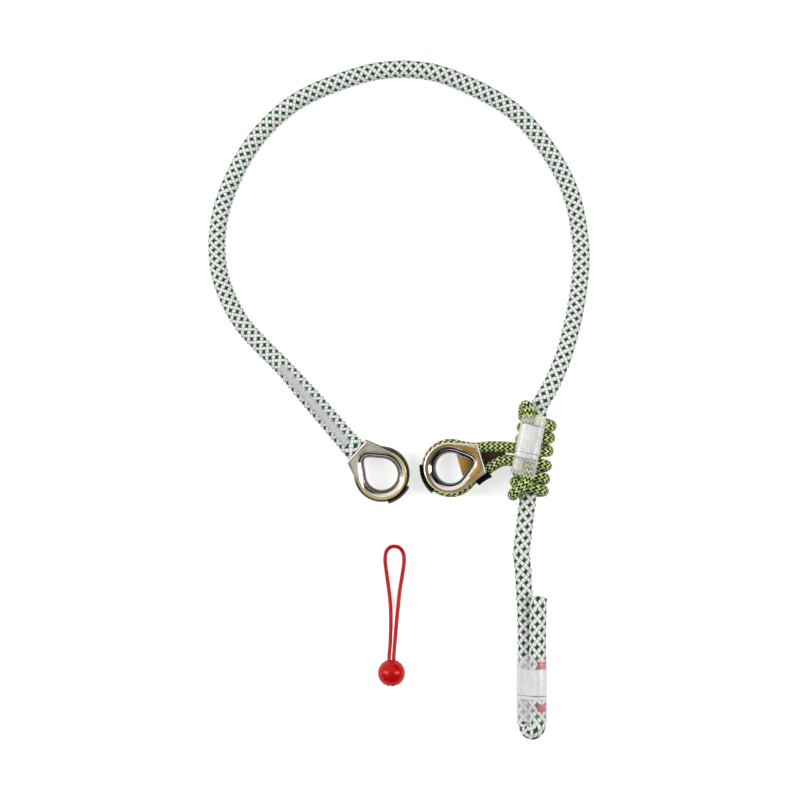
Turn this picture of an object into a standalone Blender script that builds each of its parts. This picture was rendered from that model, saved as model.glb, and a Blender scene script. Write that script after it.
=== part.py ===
"""A rope cambium saver, laid out flat: a rope loop that ends in a spliced eye with a ring, a
friction hitch that slides on the rope's tail and carries a second ring, and a retrieval ball.

Metres, +Z up. The part lies on z = 0, with the loop's crown towards +Y."""

import math

import bmesh
import bpy
import numpy as np
from mathutils import Matrix, Vector

OBJECT = "cambium_saver"
GAP = 0.0003  # between pieces that touch
END_STEP = 0.0015  # a tube's first and last step along its line

# Main rope. The route runs from the large ring's throat, round the loop and down to the hitch.
ROPE_R = 0.0080
LOOP_ROUTE = [
    (-0.1044, 0.0297, 0.0091),
    (-0.1233, 0.0486, 0.0084),
    (-0.1441, 0.0728, 0.0080),
    (-0.1618, 0.1146, 0.0080),
    (-0.1624, 0.1599, 0.0080),
    (-0.1484, 0.2024, 0.0080),
    (-0.1253, 0.2396, 0.0080),
    (-0.0933, 0.2684, 0.0080),
    (-0.0548, 0.2862, 0.0080),
    (-0.0141, 0.2970, 0.0080),
    (0.0283, 0.2957, 0.0080),
    (0.0680, 0.2810, 0.0080),
    (0.1045, 0.2592, 0.0080),
    (0.1334, 0.2265, 0.0080),
    (0.1544, 0.1874, 0.0080),
    (0.1634, 0.1429, 0.0080),
    (0.1638, 0.1180, 0.0080),
    (0.1605, 0.0918, 0.0081),
    (0.1577, 0.0760, 0.0087),
    (0.1546, 0.0630, 0.0099),
    (0.1508, 0.0486, 0.0119),
    (0.1459, 0.0342, 0.0143),
    (0.1398, 0.0198, 0.0163),
    (0.1343, 0.0092, 0.0173),
    (0.1293, 0.0006, 0.0178),
    (0.1269, -0.0036, 0.0179),
]
CROWN_FROM = 0.381  # along the route from the throat
CROWN_TO = 0.581
NECK_LENGTH = 0.098  # the splice, where the buried tail thickens the rope
NECK_AT = (0.0, 0.012, 0.060, NECK_LENGTH)
NECK_RADII = (0.0106, 0.0098, 0.0096, ROPE_R)

# Friction hitch: its centre on the rope's axis, and the rope's direction through it.
HITCH_AT = Vector((0.1203, -0.0508, 0.0179))
HITCH_LEAN = math.radians(7.0)
ALONG = Vector((math.sin(HITCH_LEAN), math.cos(HITCH_LEAN), 0))
ACROSS = Vector((math.cos(HITCH_LEAN), -math.sin(HITCH_LEAN), 0))
UP = Vector((0, 0, 1))
STRAIGHT_R = 0.00785
STRAIGHT_ABOVE = 0.0410  # the straight stretch of rope, from the hitch's centre
STRAIGHT_BELOW = 0.0790
CORD_R = 0.00485
WRAP_R = STRAIGHT_R + GAP + CORD_R
WRAPS = 3  # on each side of the two legs
FIRST_WRAP = 0.0051  # each leg's place along the rope as it crosses over
WRAP_ALONG = [  # each quarter turn's place along the rope; the first turn clears the leg
    FIRST_WRAP, 0.0068, 0.0104, 0.0145, 0.0166, 0.0186,
    0.0214, 0.0248, 0.0272, 0.0294, 0.0321, 0.0352,
]
LEG_TURN = math.radians(107)  # where a leg leaves the rope
LEG_CUT = 0.0150  # where the legs start, left of the rope's axis

# The bridge: two cord ends side by side over the wraps. Across, along and up from the centre.
BRIDGE_TOP = (-0.0039, 0.0355)
BRIDGE_BOTTOM = (-0.0084, -0.0175)
BRIDGE_HALF = 0.00505  # from the bridge's middle to each cord end
BRIDGE_LEFT_UP = 0.0226
BRIDGE_RIGHT_UP = 0.0250
UPPER_END_AT = -0.0030  # along the rope, where the left cord end stops
LOWER_END_AT = 0.0265
END_CAP = 0.0105
UPPER_TURN = [
    (-0.0132, 0.0380, 0.0049),
    (-0.0137, 0.0407, 0.0088),
    (-0.0135, 0.0435, 0.0125),
    (-0.0122, 0.0446, 0.0170),
    (-0.0107, 0.0432, 0.0204),
    (-0.0094, 0.0407, 0.0221),
]
LOWER_TURN = [
    (-0.0133, -0.0362, 0.0049),
    (-0.0142, -0.0361, 0.0101),
    (-0.0136, -0.0343, 0.0165),
    (-0.0110, -0.0311, 0.0217),
    (-0.0071, -0.0266, 0.0244),
    (-0.0046, -0.0230, 0.0249),
]

# Rings: both are the same pattern, with the nose towards the ring's own +X.
RING_HALF = 0.0105  # half the ring's thickness
GROOVE_HALF = 0.0082
LIP = 0.0066  # how far the bore's rounding reaches
CORNER_R = 0.0036
CORNER_BACK = 0.0167  # from the bore's centre to its corner's centre
RING_STEPS = 52
THROAT_STEPS = 8
LIP_STEPS = 4

LARGE_AT = Vector((-0.0155, -0.0666, 0.0125))
LARGE_TURN = math.radians(-43)
LARGE_TILT = (math.radians(5), "X")  # the throat's side stands a little higher
LARGE_BORE_R = 0.0140
LARGE_FLANGE_R = 0.0224
LARGE_THROAT = (0.0313, 0.0128)  # from the bore's centre, and half its width
LARGE_WALL = 0.0024
EYE_RADIAL = 0.0041  # the flattened rope in the groove, half its size each way
EYE_AXIAL = 0.0072
EYE_SPREAD = 0.0052  # each side of the eye at the throat

SMALL_AT = Vector((0.0464, -0.0611, 0.0144))
SMALL_TURN = math.radians(196.4)
SMALL_TILT = (math.radians(-10), "Y")  # the legs hold the throat's side up
SMALL_BORE_R = 0.0134
SMALL_FLANGE_R = 0.0230
SMALL_THROAT = (0.0311, 0.0132)
SMALL_WALL = 0.0028
WEB_AT = 0.0086  # the restrictor's edge, back from the bore's centre
WEB_HALF = 0.0025
UPPER_LEG_END = (-0.0375, -0.0088)  # in the small ring's frame
LOWER_LEG_END = (-0.0355, 0.0092)
UPPER_LEG_REACH = (0.0040, 0.0040)  # how far its curve keeps each end's direction
LOWER_LEG_REACH = (0.0110, 0.0110)
LEG_LEAD = 0.0016  # its straight length at each end
WEDGE_HALF = 0.0026  # half the thickness of the wedge between the legs
WEDGE_GAP = 0.00045
WEDGE_STEP = 0.0022
WEDGE_LEAST = 0.0012  # its width where it ends

GUARD_T = 0.0022
FLANK_T = 0.0034  # the small ring's guard by the throat is thicker
GUARD_REACH = math.radians(72)  # how far a guard wraps round the cord, each way

# Tail: the rope folds back on itself, and its free end lies over its standing part.
FOLD_AT = (0.1193, -0.2898)
STANDING_X = 0.1143
STANDING_Z = 0.0092
FREE_SIDE = 0.0100
FREE_UP = 0.0124
TAIL_R = 0.0077
TAIL_ROUTE = [
    (0.1112, -0.1500, 0.0168),
    (0.1121, -0.1650, 0.0146),
    (0.1132, -0.1830, 0.0118),
    (0.1140, -0.2040, 0.0098),
    (0.1143, -0.2280, 0.0092),
    (0.1143, -0.2600, 0.0092),
]
FREE_ROUTE = [
    (0.1243, -0.2600, 0.0216),
    (0.1243, -0.2300, 0.0216),
    (0.1244, -0.2050, 0.0224),
    (0.1247, -0.1900, 0.0233),
    (0.1251, -0.1775, 0.0240),
]
TAIL_SLEEVE = (-0.2304, -0.2890)
TAIL_LABEL = (-0.2412, -0.2686)
TAIL_MARK_LENGTH = 0.0068
SKIN_T = 0.0002  # labels and marks
SLEEVE_T = 0.0004

# Retrieval ball and its cord loop
BALL_AT = Vector((-0.0068, -0.2455, 0.0124))
BALL_R = 0.0124
BALL_BORE_R = 0.0042
BALL_RECESS_R = 0.0062
BALL_RECESS = 0.0085
KNOT_R = 0.0054
PULL_CORD_R = 0.00175
PULL_SPREAD = 0.0021
PULL_ROUTE = [
    (-0.0079, -0.2190, 0.0108),
    (-0.0073, -0.2000, 0.0062),
    (-0.0077, -0.1850, 0.0030),
    (-0.0090, -0.1720, 0.0019),
    (-0.0110, -0.1575, 0.0019),
    (-0.0125, -0.1445, 0.0019),
    (-0.0113, -0.1364, 0.0019),
    (-0.0077, -0.1327, 0.0019),
    (-0.0037, -0.1320, 0.0019),
    (0.0005, -0.1334, 0.0019),
    (0.0036, -0.1375, 0.0019),
    (0.0046, -0.1445, 0.0019),
    (0.0030, -0.1575, 0.0019),
    (0.0008, -0.1710, 0.0019),
    (-0.0007, -0.1850, 0.0030),
    (-0.0022, -0.2000, 0.0062),
    (-0.0035, -0.2150, 0.0102),
]

FINISHES = {
    "white_green_rope": ((0.55, 0.62, 0.56), 0.75, 0.0),
    "coated_rope": ((0.016, 0.028, 0.020), 0.55, 0.0),
    "yellow_green_cord": ((0.28, 0.42, 0.10), 0.7, 0.0),
    "champagne_alloy": ((0.55, 0.47, 0.36), 0.3, 1.0),
    "bronze_alloy": ((0.33, 0.23, 0.12), 0.3, 1.0),
    "grey_thread": ((0.55, 0.56, 0.55), 0.8, 0.0),
    "clear_sleeve": ((0.78, 0.80, 0.79), 0.2, 0.0),
    "white_label": ((0.80, 0.80, 0.79), 0.5, 0.0),
    "beige_tape": ((0.62, 0.56, 0.46), 0.55, 0.0),
    "red_tape": ((0.60, 0.05, 0.09), 0.45, 0.0),
    "black_rubber": ((0.012, 0.012, 0.014), 0.5, 0.0),
    "brown_rubber": ((0.030, 0.020, 0.012), 0.6, 0.0),
    "red_rubber": ((0.55, 0.006, 0.008), 0.25, 0.0),
    "red_cord": ((0.50, 0.006, 0.010), 0.4, 0.0),
}


def clear_scene():
    for thing in list(bpy.data.objects):
        bpy.data.objects.remove(thing, do_unlink=True)


def new_collection():
    found = bpy.data.collections.new(OBJECT)
    bpy.context.scene.collection.children.link(found)
    return found


def finish_for(node, finish):
    colour, roughness, metallic = FINISHES[finish]
    made = bpy.data.materials.new(f"{node}_{finish}")
    made.use_nodes = True
    shader = made.node_tree.nodes["Principled BSDF"]
    shader.inputs["Base Color"].default_value = (*colour, 1)
    shader.inputs["Roughness"].default_value = roughness
    shader.inputs["Metallic"].default_value = metallic
    return made


def add_node(name, data, finish):
    made = bpy.data.objects.new(name, data)
    bpy.data.collections[OBJECT].objects.link(made)
    data.materials.append(finish_for(name, finish))
    return made


def smooth(points, step=0.001):
    """A smooth curve through the points, as a line with a point about every step."""
    p = np.array([tuple(q) for q in points], float)
    p = np.vstack([2 * p[0] - p[1], p, 2 * p[-1] - p[-2]])
    line = []
    for a, b, c, d in zip(p, p[1:], p[2:], p[3:]):
        ab, bc, cd = (max(math.sqrt(np.linalg.norm(v)), 1e-9) for v in (b - a, c - b, d - c))
        out = (b - a) / ab - (c - a) / (ab + bc) + (c - b) / bc
        into = (c - b) / bc - (d - b) / (bc + cd) + (d - c) / cd
        steps = max(2, math.ceil(np.linalg.norm(c - b) / step))
        for t in np.arange(steps) / steps:
            line.append(
                (2 * t**3 - 3 * t**2 + 1) * b
                + (t**3 - 2 * t**2 + t) * bc * out
                + (3 * t**2 - 2 * t**3) * c
                + (t**3 - t**2) * bc * into
            )
    return np.array([*line, p[-2]])


def travelled(line):
    """How far along the line each of its points is."""
    return np.concatenate([[0], np.cumsum(np.linalg.norm(np.diff(line, axis=0), axis=1))])


def stretch(line, start, end):
    """The part of the line between two distances along it."""
    far = travelled(line)
    inner = far[(far > start + 1e-6) & (far < end - 1e-6)]
    at = np.concatenate([[start], inner, [end]])
    return np.stack([np.interp(at, far, line[:, k]) for k in range(3)], axis=1)


def thinned(line, most_turn, most_gap):
    """The line with a point for each most_turn degrees that it bends, or each most_gap. Its
    first and last steps are short ones, so that the ends are square to it."""
    far = travelled(line)
    first = int(np.searchsorted(far, END_STEP))
    last = int(np.searchsorted(far, far[-1] - END_STEP)) - 1
    kept, turned = [0, first], 0.0
    for i in range(first + 1, last):
        turned += Vector(line[i] - line[i - 1]).angle(Vector(line[i + 1] - line[i]), 0)
        if turned >= math.radians(most_turn) or math.dist(line[i], line[kept[-1]]) >= most_gap:
            kept.append(i)
            turned = 0.0
    return line[[*kept, last, len(line) - 1]]


def curve_data(name, lines, closed=False, flat=False):
    data = bpy.data.curves.new(name, "CURVE")
    data.dimensions = "2D" if flat else "3D"
    for line in lines:
        spline = data.splines.new("POLY")
        spline.points.add(len(line) - 1)
        for point, place in zip(spline.points, line):
            point.co = (*place, 0, 1) if flat else (*place, 1)
        spline.use_cyclic_u = closed
    return data


def tube(name, line, radius, finish, sides=3, radii=None):
    """A round tube of 4 + 2 sides facets along the line, with filled ends."""
    data = curve_data(name, [line])
    data.bevel_depth = radius
    data.bevel_resolution = sides
    data.use_fill_caps = True
    for point, size in zip(data.splines[0].points, radii if radii is not None else []):
        point.radius = size / radius
    return add_node(name, data, finish)


def flat_outline(name, outlines, half, finish, place):
    """A flat shape of the outlines, one inside another making a hole, extruded both ways."""
    data = curve_data(name, outlines, closed=True, flat=True)
    data.fill_mode = "BOTH"
    data.extrude = half
    made = add_node(name, data, finish)
    made.matrix_world = place
    return made


def swept(name, line, section, finish, place=None):
    """A section, drawn as (sideways, up), swept along a level line, with filled ends."""
    shape = bpy.data.objects.new(f"{name}_section", curve_data(name, [section], True, True))
    path = curve_data(name, [line])
    path.twist_mode = "Z_UP"
    path.bevel_mode = "OBJECT"
    path.bevel_object = shape
    path.use_fill_caps = True
    guide = bpy.data.objects.new(f"{name}_guide", path)
    bpy.context.scene.collection.objects.link(shape)
    bpy.context.scene.collection.objects.link(guide)
    seen = guide.evaluated_get(bpy.context.evaluated_depsgraph_get())
    mesh = bpy.data.meshes.new_from_object(seen)
    mesh.materials.clear()
    bpy.data.objects.remove(guide)
    bpy.data.objects.remove(shape)
    weld(mesh)
    made = add_node(name, mesh, finish)
    made.matrix_world = place or Matrix()
    return made


def weld(mesh):
    edit = bmesh.new()
    edit.from_mesh(mesh)
    bmesh.ops.remove_doubles(edit, verts=edit.verts, dist=0.00001)
    bmesh.ops.recalc_face_normals(edit, faces=edit.faces)
    edit.to_mesh(mesh)
    edit.free()


def shade(mesh, degrees=35):
    mesh.shade_smooth()
    mesh.set_sharp_from_angle(angle=math.radians(degrees))


def in_hitch(across, along, up):
    """A point given across the rope, along it and up, from the hitch's centre."""
    return HITCH_AT + across * ACROSS + along * ALONG + up * UP


def ring_place(at, turn, tilt):
    return Matrix.Translation(at) @ Matrix.Rotation(tilt[0], 4, tilt[1]) @ Matrix.Rotation(turn, 4, "Z")


def rounded_hull(ends, radius, first, last, steps):
    """Points round two equal circles and the tangents between them, by outward direction."""
    a, b = (np.array(end) for end in ends)
    cross = math.atan2(*(b - a)[::-1])
    turns = [first + (last - first) * k / steps for k in range(steps + 1)]
    points = []
    for k, turn in enumerate(turns):
        out = np.array([math.cos(turn), math.sin(turn)])
        side = b if math.cos(turn - cross) > 0 else a
        before = math.cos(turns[k - 1] - cross) > 0
        if k and before != (math.cos(turn - cross) > 0):
            points.append((b if before else a) + radius * out)
        points.append(side + radius * out)
    return [tuple(point) for point in points]


def bore_radius(angle, big, grow):
    """How far the bore's outline, grown by so much, is from its centre in one direction."""
    large, small = big + grow, CORNER_R + grow
    lean = math.asin((large - small) / CORNER_BACK)
    turn = abs(math.remainder(angle, math.tau))
    if turn <= math.pi / 2 + lean:
        return large
    edge = large / math.cos(turn - math.pi / 2 - lean)
    tip = (CORNER_BACK + small * math.sin(lean), small * math.cos(lean))
    if turn <= math.pi - math.atan2(tip[1], tip[0]):
        return edge
    beside = CORNER_BACK * math.sin(turn)
    return -CORNER_BACK * math.cos(turn) + math.sqrt(small**2 - beside**2)


def flange_radius(angle, big, throat):
    """The same for the flange's outline: a round nose with a squared throat."""
    back, half = throat
    turn = abs(math.remainder(angle, math.tau))
    corner = math.pi - math.atan2(half, back)
    if turn >= corner:
        return -back / math.cos(turn)
    reach = math.hypot(back, half)
    tangent = corner - math.acos(big / reach)
    return big if turn <= tangent else big / math.cos(turn - tangent)


def ring_outline(angles, radius_of, height):
    return [
        Vector((math.cos(a) * radius_of(a), math.sin(a) * radius_of(a), height)) for a in angles
    ]


def thimble(name, bore, flange, throat, wall, finish, place):
    """A grooved ring, lofted through outlines that run round its section."""
    corner = math.pi - math.atan2(throat[1], throat[0])
    round_steps = RING_STEPS - THROAT_STEPS
    angles = [corner * (2 * k / round_steps - 1) for k in range(round_steps)]
    angles += [corner + (math.tau - 2 * corner) * k / THROAT_STEPS for k in range(THROAT_STEPS)]
    section = []
    for k in range(LIP_STEPS + 1):
        turn = math.pi / 2 * k / LIP_STEPS
        section.append((("bore", LIP * (1 - math.cos(turn))), RING_HALF * math.sin(turn)))
    section += [(("flange", 0), RING_HALF), (("flange", 0), GROOVE_HALF)]
    section += [(("bore", wall), GROOVE_HALF)]
    section += [(side, -height) for side, height in reversed(section[1:])]

    edit = bmesh.new()
    loops = []
    for (side, grow), height in section:
        if side == "bore":
            outline = ring_outline(angles, lambda a: bore_radius(a, bore, grow), height)
        else:
            outline = ring_outline(angles, lambda a: flange_radius(a, flange, throat), height)
        loops.append([edit.verts.new(point) for point in outline])
    for near, far in zip(loops, loops[1:] + loops[:1]):
        for k in range(len(angles)):
            after = (k + 1) % len(angles)
            edit.faces.new((near[k], near[after], far[after], far[k]))
    bmesh.ops.recalc_face_normals(edit, faces=edit.faces)
    mesh = bpy.data.meshes.new(name)
    edit.to_mesh(mesh)
    edit.free()
    shade(mesh, 40)
    made = add_node(name, mesh, finish)
    made.matrix_world = place
    return made


def half_eye(nose, corner, throat_points):
    """Half a cord's way round a ring, from its nose to the throat, on the +Y side."""
    lean = math.asin((nose - corner) / CORNER_BACK)
    arc = [(math.pi / 2 + lean) * k / 8 for k in range(9)]
    points = [(nose * math.cos(a), nose * math.sin(a), 0) for a in arc]
    return points + [(*point, 0) for point in throat_points]


def c_section(radial, axial, thick=GUARD_T):
    """A guard's section round the outer side of a cord, drawn as (sideways, up)."""
    turns = [GUARD_REACH * (k / 5 - 1) for k in range(11)]
    outer = [((radial + thick) * math.cos(t), (axial + GAP) * math.sin(t)) for t in turns]
    inner = [(radial * math.cos(t), axial * math.sin(t)) for t in turns]
    return outer + inner[::-1]


def ellipse(radial, axial, steps):
    turns = [math.tau * k / steps for k in range(steps)]
    return [(radial * math.cos(t), axial * math.sin(t)) for t in turns]


def near_nose(line, first, last):
    """The points of a ring's level line whose direction from the centre is in a range."""
    turns = np.arctan2(line[:, 1], line[:, 0])
    return line[(turns >= first) & (turns <= last)]


def make_large_ring():
    place = ring_place(LARGE_AT, LARGE_TURN, LARGE_TILT)
    thimble(
        "large_ring", LARGE_BORE_R, LARGE_FLANGE_R, LARGE_THROAT, LARGE_WALL,
        "champagne_alloy", place,
    )
    nose = LARGE_BORE_R + LARGE_WALL + 2 * GAP + EYE_RADIAL
    corner = CORNER_R + LARGE_WALL + 2 * GAP + EYE_RADIAL
    throat = LARGE_THROAT[0]
    half = half_eye(
        nose, corner,
        [(-0.0232, 0.0083), (-0.0278, 0.0059), (-0.0298, EYE_SPREAD), (-throat, EYE_SPREAD)],
    )
    other = [(x, -y, z) for x, y, z in half[:0:-1]]
    line = smooth(other + half)
    swept(
        "rope_eye", thinned(line, 9, 0.010), ellipse(EYE_RADIAL, EYE_AXIAL, 12),
        "coated_rope", place,
    )
    guard = near_nose(line, math.radians(-36), math.radians(20))
    swept(
        "large_ring_guard", thinned(guard, 12, 0.006),
        c_section(EYE_RADIAL + GAP, EYE_AXIAL + GAP), "black_rubber", place,
    )


def small_ring_eye():
    """The hitch cord's way round the small ring, from the upper leg to the lower one."""
    nose = SMALL_BORE_R + SMALL_WALL + GAP + CORD_R
    arc = [math.radians(14 * k) for k in range(-8, 9)]
    points = [(nose * math.cos(a), nose * math.sin(a), 0) for a in arc]
    upper = [(*UPPER_LEG_END, 0), (-0.0330, -0.0096, 0), (-0.0262, -0.0110, 0)]
    lower = [(-0.0262, 0.0112, 0), (-0.0312, 0.0104, 0), (*LOWER_LEG_END, 0)]
    return upper + [(-0.0180, -0.0144, 0)] + points + [(-0.0180, 0.0144, 0)] + lower


def make_small_ring():
    place = ring_place(SMALL_AT, SMALL_TURN, SMALL_TILT)
    thimble(
        "small_ring", SMALL_BORE_R, SMALL_FLANGE_R, SMALL_THROAT, SMALL_WALL,
        "bronze_alloy", place,
    )
    angles = [math.pi + math.radians(6 * k) for k in range(-14, 15)]
    rim = [(bore_radius(a, SMALL_BORE_R, -GAP), a) for a in angles]
    plate = [(r * math.cos(a), r * math.sin(a)) for r, a in rim if r * math.cos(a) < -WEB_AT]
    flat_outline("ring_restrictor", [plate], WEB_HALF, "bronze_alloy", place)
    line = smooth(small_ring_eye())
    level = np.array([tuple(place @ Vector(point)) for point in thinned(line, 15, 0.012)])
    tube("hitch_cord_eye", level, CORD_R, "yellow_green_cord", sides=2)
    nose = near_nose(line, math.radians(-24), math.radians(38))
    section = c_section(CORD_R + GAP, CORD_R + GAP)
    swept("small_ring_guard", thinned(nose, 12, 0.006), section, "black_rubber", place)
    flank = line[(line[:, 1] > 0) & (line[:, 0] < -0.0165) & (line[:, 0] > -0.0325)]
    section = c_section(CORD_R + GAP, CORD_R + GAP, FLANK_T)
    swept("small_throat_guard", thinned(flank, 12, 0.005), section, "black_rubber", place)
    return place


def leg_points(side, reach):
    """A leg's curve from the rope to the small ring: side is 1 for the upper leg."""
    place = ring_place(SMALL_AT, SMALL_TURN, SMALL_TILT)
    tip, after = (place @ Vector(point) for point in small_ring_eye()[:: side][:2])
    run = (after - tip).normalized()
    leave = [in_hitch(*leave_point(side, LEG_CUT + more)) for more in (-0.002, 0, LEG_LEAD)]
    first, last = leave[2], tip - LEG_LEAD * run
    out, into = first + reach[0] * (first - leave[0]).normalized(), last - reach[1] * run
    points = leave[:2]
    for k in range(17):
        t, u = k / 16, 1 - k / 16
        points.append(u**3 * first + 3 * u * u * t * out + 3 * u * t * t * into + t**3 * last)
    return [*points, tip]


def leg_crossing(line, level):
    """Where a level line crosses a plane square to the ring's own X, and its radius there."""
    k = int(np.argmax(line[:, 0] < level))
    before, after = line[k - 1], line[k]
    point = before + (after - before) * (level - before[0]) / (after[0] - before[0])
    slope = abs(after[0] - before[0]) / np.linalg.norm(after - before)
    return point[1:], CORD_R / slope + WEDGE_GAP


def make_leg_wedge():
    """The dark wedge that fills the space between the two legs by the small ring's throat."""
    place = ring_place(SMALL_AT, SMALL_TURN, SMALL_TILT)
    back, eye, lines = place.inverted(), small_ring_eye(), []
    for side, reach in ((1, UPPER_LEG_REACH), (-1, LOWER_LEG_REACH)):
        leg = [back @ Vector(point) for point in leg_points(side, reach)[::-1]]
        lines.append(smooth([Vector(point) for point in eye[::side][2:0:-1]] + leg, 0.0004))
    edit, ring, k = bmesh.new(), None, 0
    while True:
        level = -SMALL_THROAT[0] - WEDGE_GAP - k * WEDGE_STEP
        (upper, upper_r), (lower, lower_r) = (leg_crossing(line, level) for line in lines)
        width = np.linalg.norm(lower - upper)
        if width - upper_r - lower_r < WEDGE_LEAST:
            break
        over = (lower - upper) / width
        rise = np.array([-over[1], over[0]])
        section = []
        for middle, radius, way in ((upper, upper_r, 1), (lower, lower_r, -1)):
            for height in (-way, 0, way):
                reach = math.sqrt(radius**2 - (height * WEDGE_HALF) ** 2)
                section.append(middle + way * reach * over + height * WEDGE_HALF * rise)
        fresh = [edit.verts.new(place @ Vector((level, *point))) for point in section]
        for i in range(6) if ring else ():
            edit.faces.new((ring[i], ring[(i + 1) % 6], fresh[(i + 1) % 6], fresh[i]))
        if not ring:
            edit.faces.new(fresh[::-1])
        ring, k = fresh, k + 1
    edit.faces.new(ring)
    bmesh.ops.recalc_face_normals(edit, faces=edit.faces)
    mesh = bpy.data.meshes.new("leg_wedge")
    edit.to_mesh(mesh)
    edit.free()
    add_node("leg_wedge", mesh, "brown_rubber")
    print(f"leg wedge: {k} sections, {1000 * (k - 1) * WEDGE_STEP:.1f} mm long")


def leave_point(side, out):
    """A point on the slope down which a leg leaves the rope, so far left of the rope's axis."""
    reach = out + WRAP_R * math.cos(LEG_TURN)
    drop = reach * math.tan(LEG_TURN - math.pi / 2)
    spread = side * (FIRST_WRAP + 0.05 * reach)
    return (-out, spread, WRAP_R * math.sin(LEG_TURN) - drop)


def wrap_points(side):
    """The wraps from the leg outwards: over the rope, down its right side and under it."""
    turns = 24 * WRAPS + 2
    first = math.floor(math.degrees(LEG_TURN) / 15) * 15
    places = smooth([(k, along, 0) for k, along in enumerate(WRAP_ALONG)], 0.1)
    points = []
    for k in range(turns + 1):
        turn = math.radians(first - 15 * k)
        if turn < math.radians(90 - 360 * (WRAPS - 0.25)) - 0.01:
            break
        gone = max(0.0, math.pi / 2 - turn) / math.tau
        along = float(np.interp(4 * gone, places[:, 0], places[:, 1]))
        points.append((WRAP_R * math.cos(turn), side * along, WRAP_R * math.sin(turn)))
    return points


def bridge_side(along):
    """How far across the bridge's middle is at one place along the rope."""
    (top, top_at), (bottom, bottom_at) = BRIDGE_TOP, BRIDGE_BOTTOM
    return bottom + (top - bottom) * (along - bottom_at) / (top_at - bottom_at)


def bridge_point(along, left):
    side = bridge_side(along) + (-BRIDGE_HALF if left else BRIDGE_HALF)
    return (side, along, BRIDGE_LEFT_UP if left else BRIDGE_RIGHT_UP)


def coil_line(side, turn_route, end):
    """One half of the hitch: a leg's start, its wraps, the turn, and the bridge to its end."""
    left = side > 0
    mouth = BRIDGE_TOP[1] if left else BRIDGE_BOTTOM[1]
    points = [leave_point(side, LEG_CUT - more) for more in (0, 0.003, 0.006)]
    points += wrap_points(side) + turn_route
    for share in (-0.05, 0.0, 0.35, 0.7, 1.0):
        points.append(bridge_point(mouth + (end - mouth) * share, left))
    return smooth([in_hitch(*point) for point in points], 0.0005)


def least_gap(line, radius, other=None):
    """The least gap between a tube and another, or between its own turns."""
    far, rest = travelled(line), line if other is None else other
    least = math.inf
    for k in range(0, len(line), 3):
        apart = np.linalg.norm(rest - line[k], axis=1)
        if other is None:
            apart = apart[np.abs(far - far[k]) > 4.2 * radius]
        least = min(least, apart.min(initial=math.inf))
    return least - 2 * radius


def make_hitch():
    coils = {}
    for name, side, route, end in (
        ("upper", 1, UPPER_TURN, UPPER_END_AT),
        ("lower", -1, LOWER_TURN, LOWER_END_AT),
    ):
        line = coil_line(side, route, end)
        tube(f"hitch_coil_{name}", thinned(line, 15, 0.012), CORD_R, "yellow_green_cord", sides=1)
        print(f"hitch_coil_{name}: least gap {1000 * least_gap(line, CORD_R):.2f} mm")
        coils[name] = line
    between = least_gap(coils["upper"], CORD_R, coils["lower"])
    print(f"between the two coils: least gap {1000 * between:.2f} mm")

    cap = END_CAP / (BRIDGE_TOP[1] - BRIDGE_BOTTOM[1])
    slope = np.array(in_hitch(*bridge_point(BRIDGE_BOTTOM[1], True)))
    slope = cap * (slope - np.array(in_hitch(*bridge_point(BRIDGE_TOP[1], True))))
    gap = slope * GAP / np.linalg.norm(slope)
    upper_end, lower_end = coils["upper"][-1] + gap, coils["lower"][-1] - gap
    tube("cord_end_cap_upper", [upper_end, upper_end + slope], CORD_R, "beige_tape", sides=2)
    tube("cord_end_cap_lower", [lower_end, lower_end - slope], CORD_R, "beige_tape", sides=2)

    for name, side, reach in (("upper", 1, UPPER_LEG_REACH), ("lower", -1, LOWER_LEG_REACH)):
        line = smooth(leg_points(side, reach))
        start = travelled(line)[np.abs(line - np.array(coils[name][0])).sum(1).argmin()]
        line = stretch(line, start + GAP, travelled(line)[-1] - GAP)
        tube(f"hitch_leg_{name}", thinned(line, 10, 0.008), CORD_R, "yellow_green_cord", sides=2)


def bridge_place(along):
    """The bridge's cross-section at one place: X across, Y up, Z along it."""
    top = in_hitch(*bridge_point(BRIDGE_TOP[1], True))
    bottom = in_hitch(*bridge_point(BRIDGE_BOTTOM[1], True))
    run = (top - bottom).normalized()
    across = UP.cross(run).normalized()
    middle = in_hitch(bridge_side(along), along, 0)
    return Matrix.Translation(middle) @ Matrix((-across, UP, -run)).transposed().to_4x4()


def make_bridge():
    ends = [(-BRIDGE_HALF, BRIDGE_LEFT_UP), (BRIDGE_HALF, BRIDGE_RIGHT_UP)]
    label_r = CORD_R + GAP
    sleeve_r = label_r + SKIN_T + GAP
    middle = (BRIDGE_TOP[1] + BRIDGE_BOTTOM[1]) / 2
    half = (BRIDGE_TOP[1] - BRIDGE_BOTTOM[1]) / 2
    outer = rounded_hull(ends, sleeve_r + SLEEVE_T, 0, math.tau * 31 / 32, 31)
    inner = rounded_hull(ends, sleeve_r, 0, math.tau * 31 / 32, 31)
    flat_outline("hitch_sleeve", [outer, inner], half, "clear_sleeve", bridge_place(middle))
    first, last = math.radians(8), math.radians(172)
    skin = rounded_hull(ends, label_r + SKIN_T, first, last, 14)
    skin += rounded_hull(ends, label_r, first, last, 14)[::-1]
    flat_outline("hitch_label", [skin], 0.0155, "white_label", bridge_place(0.0130))


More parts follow.
